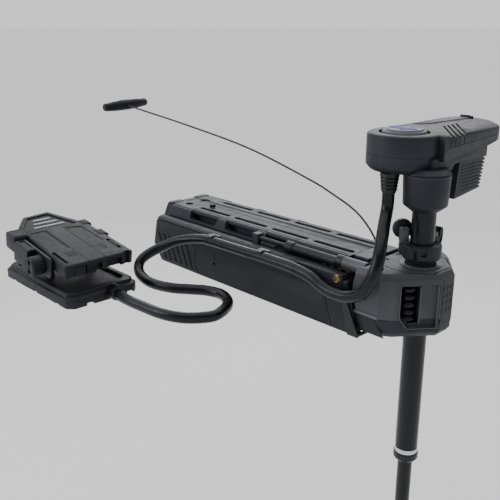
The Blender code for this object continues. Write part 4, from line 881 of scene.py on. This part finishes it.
def make_head():
    """Lid, wing, bowl, dial, neck, finned block and cable boot."""
    roof = HEAD_TOP - 0.009
    top = HEAD_TOP - 0.0008
    upper = lofted((wing_plan(), 0.285), (wing_plan(), top - 0.0042), (wing_plan(0.0016), top - 0.0012),
                   (wing_plan(0.004), top))
    lid = [(0.0, HEAD_TOP), (DRUM_RADIUS - 0.0052, HEAD_TOP), (DRUM_RADIUS - 0.0022, HEAD_TOP - 0.001),
           (DRUM_RADIUS - 0.0006, HEAD_TOP - 0.0026), (DRUM_RADIUS, HEAD_TOP - 0.005), (DRUM_RADIUS, 0.281),
           (0.0, 0.281)]
    upper = join(upper, turned(lid, DRUM, steps=96))
    upper = cut(upper, prism(beyond_seam(0.0005, 0.2), "YZ", 0.1, 0.33),
                rod(0.0535, 0.2, roof, DRUM, steps=64),
                rod(0.0398, HEAD_TOP - 0.004, HEAD_TOP + OVERSHOOT, DRUM, steps=96))
    for i in range(4):
        y = 0.0225 + 0.0125 * i
        band = [(WING_NEAR + 0.008, y - 0.009), (0.22, y + 0.078)]
        upper = sunk(upper, stroke(band, 0.0036), top, 0.003)
        upper = cut(upper, block((WING_NEAR - 0.0006, y, WING_SEAM + 0.0018),
                                 (WING_NEAR + 0.01, y + 0.0015, top - 0.004)))
    slot = [(0.1945, 0.093), (0.2065, 0.22), (0.204, 0.2222), (0.192, 0.093)]
    upper = sunk(upper, slot, top, 0.003)
    step = [(0.245, 0.065), (0.2448, 0.206), (0.2442, 0.206), (0.2444, 0.065)]
    upper = sunk(upper, step, top, 0.0008)
    piece("head_lid", upper, "column", CHARCOAL, "head_upper_shell")

    plate = [(0.188, 0.093), (0.1902, 0.108), (0.2005, 0.22), (0.19, 0.223), (0.176, 0.216), (0.169, 0.196),
             (0.169, 0.085), (0.18, 0.085)]
    piece("wing_plate", prism(plate, "XY", top - 0.0006, top + 0.001, 0.0006, 2), "column", CHARCOAL)
    rim = [(0.208, 0.214), (0.195, 0.2245), (0.1805, 0.2225), (0.178, 0.2195), (0.1815, 0.2185),
           (0.194, 0.2205), (0.206, 0.211)]
    piece("wing_rim", prism(rim, "XY", top - 0.0006, top + 0.0042, 0.0006, 2), "column", DARK)

    under = [(-0.1, 0.28), (0.007, 0.28), (0.14, 0.2915), (0.16, 0.295), (0.26, 0.301), (0.26, 0.2),
             (-0.1, 0.2)]
    lower = prism(wing_plan(), "XY", 0.27, HEAD_TOP - 0.005)
    lower = cut(lower, prism(under, "YZ", 0.1, 0.33))
    bowl = [(0.0, 0.305), (DRUM_RADIUS, 0.305), (DRUM_RADIUS, HEAD_LOW + 0.0092),
            (DRUM_RADIUS - 0.0014, HEAD_LOW + 0.0068), (DRUM_RADIUS - 0.0062, HEAD_LOW + 0.0014),
            (DRUM_RADIUS - 0.0086, HEAD_LOW), (0.0, HEAD_LOW)]
    lower = join(lower, turned(bowl, DRUM, steps=96))
    skirt = [(-0.01, HEAD_LOW + 0.0004), (0.042, HEAD_LOW + 0.0004), (0.05, SKIRT_LOW), (0.146, SKIRT_LOW),
             (0.146, 0.2945), (-0.01, 0.285)]
    lower = join(lower, prism(skirt, "YZ", 0.226, 0.277, 0.001, 2))
    cone = [(0.0, 0.2705), (0.0285, 0.2705), (0.0296, 0.27), (0.0362, 0.2644), (0.0364, 0.263),
            (0.0, 0.263)]
    lower = join(lower, turned(cone, (SHAFT_X, 0, 0), steps=80))
    lower = cut(lower, prism(beyond_seam(-0.0001, 0.4), "YZ", 0.1, 0.33),
                rod(0.0535, HEAD_LOW + 0.004, 0.4, DRUM, steps=64),
                rod(0.006, 0.25, 0.28, (0.237, 0, 0), steps=24))
    crack = block((DRUM_RADIUS - 0.0006, -0.0004, HEAD_LOW), (DRUM_RADIUS + 0.01, 0.0004, HEAD_SEAM + 0.01))
    for angle in (-96, 150):
        lower = cut(lower, moved(crack.copy(), about(DRUM, angle)))
    piece("head_bowl", lower, "column", CHARCOAL, "head_lower_shell")
    inner = [(0.0, HEAD_SEAM + 0.003), (DRUM_RADIUS - 0.001, HEAD_SEAM + 0.003),
             (DRUM_RADIUS - 0.001, HEAD_SEAM - 0.003), (0.0, HEAD_SEAM - 0.003)]
    piece("head_seam_band", turned(inner, DRUM, steps=96), "column", DARK)

    face = [(0.0, 0.3249), (0.0258, 0.3249), (0.0262, 0.3255), (0.0285, 0.3255), (0.0297, 0.3245),
            (0.0305, 0.3232), (0.033, 0.3226), (0.0345, 0.3206), (0.0345, 0.3164), (0.0, 0.3164)]
    piece("dial_disc", turned(face, DRUM, steps=96), "dial", DIAL, "direction_dial")
    arrow = [(0.0, 0.024), (-0.019, 0.003), (-0.0085, 0.003), (-0.0085, -0.0215), (0.0085, -0.0215),
             (0.0085, 0.003), (0.019, 0.003)]
    arrow = prism([(DRUM[0] + b, a) for a, b in arrow], "XY", 0.3247, 0.3254, 0.0003, 1)
    piece("dial_arrow", arrow, "dial", BLUE)

    profile = [(0.0325, HEAD_LOW - GAP), (0.0368, HEAD_LOW - GAP), (0.0366, 0.256), (0.0346, 0.214),
               (0.0338, 0.2125), (0.0215, 0.203), (0.0206, 0.2025), (TUBE_BORE, 0.2025), (TUBE_BORE, 0.24),
               (0.0325, 0.24)]
    neck = turned(profile, (SHAFT_X, 0, 0), steps=96, closed=True)
    piece("head_throat", neck, "column", CHARCOAL, "head_neck")

    fins = 9
    low = 0.2215
    high = SKIRT_LOW - GAP
    rise = (high - low) / fins
    comb = [(0.058, low - 0.008)]
    for i in range(fins):
        z = low + rise * i
        reach = 0.1335 + 0.0012 * i
        comb += [(reach - 0.0008, z), (reach, z + rise * 0.15), (reach, z + rise * 0.58),
                 (reach - 0.004, z + rise * 0.72), (reach - 0.004, z + rise * 0.96)]
    comb[-1] = (comb[-1][0], high)
    comb += [(0.0655, high)]
    body = prism(comb, "YZ", 0.222, 0.276)
    for i in range(fins - 1):
        z = low + rise * (i + 0.84)
        for a, b in ((0.22, 0.2228), (0.2752, 0.28)):
            body = cut(body, block((a, 0.072, z - 0.0007), (b, 0.15, z + 0.0007)))
    body = join(body, block((0.235, 0.04, 0.221), (0.262, 0.07, HEAD_LOW - GAP), 0.001, 1))
    piece("head_fins", body, "column", CHARCOAL, "heat_sink_block")

    boot = [(0.0, HEAD_LOW - GAP), (0.015, HEAD_LOW - GAP)]
    for i in range(5):
        z = 0.259 - i * 0.0055
        r = 0.0152 - i * 0.0006
        boot += [(r - 0.0004, z + 0.0004), (r, z - 0.0008), (r, z - 0.0024), (r - 0.0006, z - 0.0034),
                 (r - 0.0018, z - 0.004)]
    boot += [(0.0112, 0.2303), (0.0, 0.2303)]
    piece("head_boot", turned(boot, (0.218, -0.037, 0), steps=48), "column", RUBBER, "cable_boot")


# ---- pedal
PEDAL = Vector((-0.335, -0.29, 0.055))
TREADLE = Matrix.Translation(PEDAL) @ Matrix.Rotation(radians(8.5), 4, "Y")
TREADLE_TOP = 0.037
TREADLE_LOW = 0.011
TRAY_TOP = 0.026


def tray_plan(shrink_x=0.0, shrink_y=0.0):
    """Outline of the pedal's tray with cut corners."""
    half_x, half_y, corner = 0.125 - shrink_x, 0.07375 - shrink_y, 0.012
    points = [(-half_x, -half_y + corner), (-half_x + corner, -half_y), (half_x - corner, -half_y),
              (half_x, -half_y + corner), (half_x, half_y - corner), (half_x - corner, half_y),
              (-half_x + corner, half_y), (-half_x, half_y - corner)]
    return [(x - 0.322, y - 0.30025) for x, y in points]


def make_pedal_tray():
    """Sunken tray with the ears of the axle and the cable's strain relief."""
    tray = lofted((tray_plan(), 0.0), (tray_plan(), TRAY_TOP - 0.0095),
                  (tray_plan(0.0014, 0.0014), TRAY_TOP - 0.008),
                  (tray_plan(0.005, 0.0045), TRAY_TOP - 0.007),
                  (tray_plan(0.0062, 0.0055), TRAY_TOP - 0.0012), (tray_plan(0.0074, 0.0067), TRAY_TOP))
    tray = rounded(tray, 0.0006, 1)
    tray = cut(tray, lofted((tray_plan(0.019, 0.015), 0.02), (tray_plan(0.0175, 0.0137), 0.05)))
    for y in (-0.33, -0.246):
        tray = cut(tray, block((-0.215, y - 0.008, -0.01), (-0.18, y + 0.008, 0.005)))
    for x in (-0.405, -0.322, -0.24):
        tray = cut(tray, block((x - 0.006, -0.4, -0.01), (x + 0.006, -0.355, 0.0022)))
    outline = [(PEDAL.x - 0.014, 0.005), (PEDAL.x + 0.014, 0.005),
               *arc((PEDAL.x, PEDAL.z), 0.0095, 0, 180, 17)]
    for side in (-1, 1):
        y = PEDAL.y + side * 0.045
        tray = join(tray, prism(outline, "XZ", y - 0.004, y + 0.004, 0.0008, 1))
        tray = cut(tray, rod(PIN_HOLE, -0.02, 0.02, (PEDAL.x, y, PEDAL.z), "Y", 28))
    tray = cut(tray, rod(0.0028, TRAY_TOP - 0.004, 0.05, (-0.213, -0.2365, 0), steps=20))
    piece("pedal_tray", tray, "mount", PEDAL_SKIN, "pedal_base")
    gland = [(0.0, -0.175), (0.0112, -0.175), (0.012, -0.1758)]
    for x in (-0.1785, -0.1825, -0.1865, -0.1905):
        gland += [(0.012, x + 0.0006), (0.014, x), (0.014, x - 0.0018), (0.012, x - 0.0024)]
    gland += [(0.0145, -0.1935), (0.0145, -0.1967), (0.0, -0.1967)]
    piece("pedal_strain_relief", turned(gland, (0, -0.285, 0.015), "X", 40), "mount", RUBBER,
          "pedal_gland")


def make_treadle():
    """Foot plate with its pod, speed knob and three buttons."""
    outline = [(0.115, -0.075), (0.115, 0.066), (-0.04, 0.062), (-0.127, 0.022), (-0.121, -0.035),
               (-0.078, -0.066)][::-1]
    plate = prism(outline, "XY", TREADLE_LOW, TREADLE_TOP, 0.0035, 3)
    ear = [(-0.01, TREADLE_LOW + 0.002), *arc((0, 0), 0.0095, 180, 360, 17), (0.01, TREADLE_LOW + 0.002)]
    for side in (-1, 1):
        y = side * 0.035
        plate = join(plate, prism(ear, "XZ", y - 0.004, y + 0.004, 0.0006, 1))
        plate = cut(plate, rod(PIN_HOLE, -0.02, 0.02, (0, y, 0), "Y", 28))
    deep = TREADLE_LOW - 0.01
    high = TREADLE_TOP + OVERSHOOT
    plate = cut(plate, block((-0.056, 0.05, deep), (-0.033, 0.07, high)),
                block((0.001, 0.052, deep), (0.026, 0.072, high)),
                block((-0.09, -0.09, deep), (-0.0322, -0.0665, high)))
    toe = [(-0.047, -0.056), (-0.047, 0.044), (-0.116, 0.016), (-0.111, -0.03), (-0.079, -0.053)]
    plate = sunk(plate, toe[::-1], TREADLE_TOP, 0.0022)
    left = [(-0.042, -0.06), (-0.042, -0.028), (0.048, -0.028), (0.048, -0.056)]
    right = [(-0.038, 0.011), (-0.03, 0.042), (0.048, 0.045), (0.048, 0.011)]
    for field in (left, right):
        plate = sunk(plate, field, TREADLE_TOP, 0.0009)
    for y in (-0.0255, 0.0085):
        plate = cut(plate, block((-0.048, y - 0.0005, TREADLE_TOP - 0.0014), (0.12, y + 0.0005, high)))
    for start in (-0.047, 0.015):
        for i in range(4):
            y = start + 0.005 * i
            plate = cut(plate, block((0.062, y, TREADLE_TOP - 0.0012), (0.083, y + 0.0012, high)))
    plate = sunk(plate, slot_outline(0.052, 0.104, -0.064, 0.0062), TREADLE_TOP, 0.0035)
    plate = sunk(plate, slot_outline(0.048, 0.094, 0.052, 0.007), TREADLE_TOP, 0.0035)
    plate = cut(plate, block((0.106, -0.056, deep), (0.13, -0.031, TREADLE_TOP - 0.006)),
                block((0.106, -0.012, deep), (0.13, 0.042, TREADLE_TOP - 0.008)),
                block((0.11, 0.047, deep), (0.13, 0.058, high)))
    piece("treadle_plate", moved(plate, TREADLE), "treadle", PEDAL_SKIN, "foot_plate")

    stripes = []
    for i in range(3):
        x = -0.0995 + 0.0165 * i
        reach = 0.01 + 0.0066 * i
        bar = [(x, -0.024 - 0.007 * i), (x + 0.0044, -0.0255 - 0.007 * i), (x + 0.0044, reach + 0.003),
               (x, reach)]
        stripes.append(prism(bar, "XY", TREADLE_TOP - 0.0026, TREADLE_TOP - 0.001, 0.0004, 1))
    piece("treadle_stripes", moved(merged(*stripes), TREADLE), "treadle", PALE)
    blocks = []
    for start, end, drop in ((-0.0545, -0.0325, 0.0068), (0.002, 0.012, 0.0088)):
        blocks.append(block((0.1068, start, TREADLE_LOW + 0.001), (0.114, end, TREADLE_TOP - drop), 0.001, 1))
    piece("treadle_heel_blocks", moved(merged(*blocks), TREADLE), "treadle", DARK)
    bar = block((0.056, 0.0502, TREADLE_TOP - 0.0038), (0.086, 0.0538, TREADLE_TOP + 0.0006), 0.0008, 2)
    piece("treadle_slot_bar", moved(bar, TREADLE), "treadle", PEDAL_SKIN)

    pod_y = -0.0755
    centre = (0.042, 0.0, 0.014)
    side = [(-0.032, -0.004), (0.07, -0.004), (0.076, 0.003), (0.076, 0.029), (0.069, 0.0355),
            (-0.027, 0.0355), (-0.032, 0.03)]
    pod = prism(side, "XZ", pod_y - 0.023, pod_y, 0.0025, 3)
    pod = cut(pod, block((0.0215, pod_y - 0.05, -0.02), (0.1, pod_y - 0.006, 0.06)),
              block((-0.024, pod_y - 0.017, 0.034), (0.01, pod_y - 0.006, 0.05)),
              block((0.017, pod_y - 0.017, 0.034), (0.019, pod_y - 0.006, 0.05)))
    piece("pod_shell", moved(pod, TREADLE), "treadle", PEDAL_SKIN, "control_pod")
    lobes = knurled((centre[0], centre[2]), 0.018, 0.0174, 4, 2)
    knob = prism(lobes, "XZ", pod_y - 0.029, pod_y - 0.0064, 0.0004, 1)
    knob = join(knob, turned([(0.0, pod_y - 0.0302), (0.015, pod_y - 0.0302), (0.0165, pod_y - 0.029),
                              (0.0, pod_y - 0.029)], centre, "Y", 64))
    knob = cut(knob, turned([(0.0122, pod_y - 0.032), (0.0132, pod_y - 0.032), (0.0132, pod_y - 0.0292),
                             (0.0122, pod_y - 0.0292)], centre, "Y", 64, closed=True))
    for z in (0.005, 0.023):
        knob = cut(knob, rod(0.004, pod_y - 0.04, pod_y - 0.0262, (centre[0], 0, z), "Y", 24))
    knob = cut(knob, block((0.0402, pod_y - 0.04, 0.005), (0.0438, pod_y - 0.0275, 0.023)))
    piece("speed_grip", moved(knob, TREADLE), "speed_dial", DARK, "speed_knob")

    button = [(-0.07, 0.012), (-0.066, 0.007), (-0.037, 0.007), (-0.033, 0.011), (-0.033, 0.036),
              (-0.037, 0.0405), (-0.066, 0.0405), (-0.07, 0.036)]
    button = prism(button, "XZ", pod_y - 0.02, pod_y + 0.008, 0.0035, 3)
    button = cut(button, block((-0.064, pod_y - 0.014, 0.0397), (-0.04, pod_y + 0.004, 0.05), 0.0003, 1))
    piece("momentary_pad", moved(button, TREADLE), "momentary", CHARCOAL, "momentary_button")
    for name, low_x, low_y, wide in (("mode", -0.0553, 0.051, 0.0216), ("anchor", 0.0017, 0.053, 0.0236)):
        section = [(low_y, TREADLE_LOW + 0.002), (low_y + 0.018, TREADLE_LOW + 0.002),
                   (low_y + 0.018, 0.0355), (low_y + 0.0135, 0.0385), (low_y, 0.0374)]
        key = prism(section, "YZ", low_x, low_x + wide, 0.0012, 2)
        for i in range(3):
            x = low_x + 0.005 + 0.005 * i
            key = cut(key, block((x, low_y + 0.003, 0.0369), (x + 0.0012, low_y + 0.03, 0.06)))
        piece(name + "_key", moved(key, TREADLE), name, DARK, name + "_button")


# ---- lower unit
MOTOR = (SHAFT_X, 0, -0.95)
MOTOR_RADIUS = 0.046


def make_lower_unit():
    """Motor, skeg, nose, tail and propeller."""
    half = 0.105
    groove = MOTOR_RADIUS - 0.0012
    front = [(0.0, half), (groove, half), (MOTOR_RADIUS, half - 0.0012), (MOTOR_RADIUS, half - 0.012),
             (groove, half - 0.0128), (groove, half - 0.0142), (MOTOR_RADIUS, half - 0.015)]
    profile = front + [(r, -x) for r, x in reversed(front)]
    shell = turned(profile, MOTOR, "X", 96)
    top = MOTOR[2] + MOTOR_RADIUS + 0.03
    socket = [(0.0, top), (0.018, top), (0.0192, top - 0.001), (0.0205, top - 0.006), (0.0212, top - 0.02),
              (0.023, MOTOR[2] + 0.05), (0.029, MOTOR[2] + 0.04), (0.029, MOTOR[2] + 0.03),
              (0.0, MOTOR[2] + 0.03)]
    skeg = [(-0.075, -0.04), (-0.086, -0.075), (-0.092, -0.105), (-0.09, -0.13), (-0.08, -0.15),
            (-0.068, -0.157), (-0.055, -0.157), (-0.044, -0.145), (-0.03, -0.12), (-0.01, -0.092),
            (0.005, -0.075), (0.035, -0.04)]
    fin = prism([(SHAFT_X + a, MOTOR[2] + b) for a, b in skeg], "XZ", -0.003, 0.003, 0.0022, 3)
    shell = join(shell, turned(socket, (SHAFT_X, 0, 0), steps=64), fin)
    piece("motor_shell", shell, "lower_unit", CHARCOAL, "motor_housing motor_magnets")
    nose = []
    for i in range(20):
        angle = radians(90) * i / 19
        nose.append((MOTOR_RADIUS * sin(angle) ** 0.92, half + GAP + 0.075 * cos(angle)))
    nose.append((0.0, half + GAP))
    piece("motor_nose", turned(nose, MOTOR, "X", 96), "lower_unit", CHARCOAL, "nose_cone")
    end = -half - GAP
    tail = [(0.0056, end)]
    for t, r in ((0.0, MOTOR_RADIUS), (0.008, 0.0457), (0.018, 0.0442), (0.028, 0.0412), (0.036, 0.038),
                 (0.044, 0.0335), (0.05, 0.0285), (0.0515, 0.027), (0.052, 0.0262)):
        tail.append((r, end - t))
    tail.append((0.0056, end - 0.052))
    piece("motor_tail", turned(tail, MOTOR, "X", 96, closed=True), "lower_unit", CHARCOAL,
          "tail_cone")
    screws = []
    x = SHAFT_X + end - 0.0405
    for i in range(4):
        angle = radians(45 + 90 * i)
        y, z = 0.034 * cos(angle), MOTOR[2] + 0.034 * sin(angle)
        screws.append(rod(0.003, x - 0.0022, x + 0.03, (0, y, z), "X", 20))
    piece("motor_screws", merged(*screws), "lower_unit", STEEL)
    hub_front = SHAFT_X + end - 0.0528
    hub = [(0.0056, hub_front), (0.0258, hub_front), (0.0265, hub_front - 0.001),
           (0.0262, hub_front - 0.012), (0.0245, hub_front - 0.038), (0.0225, hub_front - 0.046),
           (0.02, hub_front - 0.0495), (0.019, hub_front - 0.05), (0.0056, hub_front - 0.05)]
    screw = turned(hub, (0, 0, MOTOR[2]), "X", 64, closed=True)
    for i in range(2):
        blade = propeller_blade()
        screw = join(screw, moved(blade, Matrix.Translation((hub_front - 0.022, 0,
                                                             MOTOR[2])) @ Matrix.Rotation(pi * i, 4, "X")))
    piece("propeller_screw", screw, "screw", DARK, "propeller", 40)


def propeller_blade():
    """A swept blade with twist, thick at the root and thin at the edges."""
    stations = 12
    around = 14
    root, tip = 0.018, 0.1335
    rings = []
    for i in range(stations):
        s = i / (stations - 1)
        radius = root + (tip - root) * s
        chord = 0.04 + 0.026 * sin(pi * min(1.0, s * 1.15) * 0.85)
        chord *= (1 - max(0.0, (s - 0.72) / 0.28) ** 2) ** 0.5 if s < 0.999 else 0.12
        sweep = 0.002 - 0.02 * s * s
        pitch = radians(62 - 30 * s)
        thick = 0.0062 * (1 - 0.72 * s)
        ring = []
        for k in range(around):
            angle = 2 * pi * k / around
            u = chord / 2 * cos(angle) + sweep
            w = thick / 2 * sin(angle)
            ring.append((w * sin(pitch) - u * cos(pitch), u * sin(pitch) + w * cos(pitch), radius))
        rings.append(ring)
    return skin_over(rings)


def make_spring_ring():
    """Ribbed dark ring on the end of the lift cylinder."""
    centre = (0, SPRING_Y, 0.107)
    profile = [(0.0099, 0.147), (0.0104, 0.1466)]
    for i in range(4):
        x = 0.148 + 0.0026 * i
        profile += [(0.0108, x), (0.0108, x + 0.0016), (0.0104, x + 0.0018), (0.0104, x + 0.0024)]
    profile += [(0.0103, 0.1586), (0.0099, 0.1586)]
    piece("spring_end_ring", turned(profile, centre, "X", 56, closed=True), "lift_cylinder", RUBBER)


make_yoke()
make_spring_ring()
make_collar()
make_head()
make_pedal_tray()
make_treadle()
make_lower_unit()


# ---- carried CAD nodes
def skin(material, names):
    """A material on carried nodes."""
    for name in names.split():
        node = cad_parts[name]
        for index in range(len(node.material_slots)):
            node.material_slots[index].material = material


skin(DARK, "base_plate lift_spring_cylinder lift_spring_rod steering_motor")
skin(GREY, "hinge_block spring_anchor")
skin(LIGHT, "lift_spring_socket")
skin(RUBBER, "front_bumper upper_bushing lower_bushing rope_guide tube_end_seal")
skin(SHAFT, "outer_tube inner_shaft")
skin(STEEL, "tube_end_ring drive_pinion propeller_shaft propeller_nut pedal_axle")
skin(BRASS, "hinge_pin steering_gear motor_armature")
skin(BOARD, "circuit_board")


# ---- floor and light
FLOOR_Z = -1.125
FLOOR_RADIUS = 200.0
HORIZON = 0.99
OVERHEAD = 0.22


def make_stage():
    """Pale floor and a world lit from low down."""
    shape = bmesh.new()
    bmesh.ops.create_circle(shape, cap_ends=True, segments=96, radius=FLOOR_RADIUS)
    mesh = bpy.data.meshes.new("floor")
    shape.to_mesh(mesh)
    shape.free()
    mesh.transform(Matrix.Translation((0, 0, FLOOR_Z)))
    material = bpy.data.materials.new("pale_floor")
    material.use_nodes = True
    shader = material.node_tree.nodes["Principled BSDF"]
    shader.inputs["Base Color"].default_value = (0.9, 0.9, 0.9, 1.0)
    shader.inputs["Roughness"].default_value = 0.95
    shader.inputs["Specular IOR Level"].default_value = 0.05
    mesh.materials.append(material)
    floor = bpy.data.objects.new("floor", mesh)
    scene.collection.objects.link(floor)

    # even light near the horizon, dimmer overhead
    world = bpy.data.worlds.new("studio")
    world.use_nodes = True
    tree = world.node_tree
    parts = tree.nodes.new("ShaderNodeSeparateXYZ")
    tree.links.new(tree.nodes.new("ShaderNodeTexCoord").outputs["Generated"], parts.inputs["Vector"])
    glow = ramp(tree, parts.outputs["Z"], HORIZON, OVERHEAD, (0.06, 0.3))
    tree.links.new(glow, tree.nodes["Background"].inputs["Color"])
    scene.world = world


def softbox(name, place, target, size, energy):
    """A rectangular light turned towards a target."""
    data = bpy.data.lights.new(name, "AREA")
    data.shape = "RECTANGLE"
    data.size, data.size_y = size
    data.energy = energy
    light = bpy.data.objects.new(name, data)
    light.location = place
    light.rotation_euler = (Vector(target) - Vector(place)).to_track_quat("-Z", "Y").to_euler()
    scene.collection.objects.link(light)


make_stage()
sun = bpy.data.objects.new("sky", bpy.data.lights.new("sky", "SUN"))
sun.data.energy = 2.5
sun.data.angle = radians(100)
sun.rotation_euler = Vector((0.3, -0.3, -1.0)).to_track_quat("-Z", "Y").to_euler()
scene.collection.objects.link(sun)
softbox("behind", (-2.2, 2.4, 1.5), (0.0, 0.0, 0.1), (2.6, 1.0), 28)
softbox("left_front", (-1.3, -2.0, 1.1), (0.0, -0.1, 0.1), (1.2, 1.6), 22)
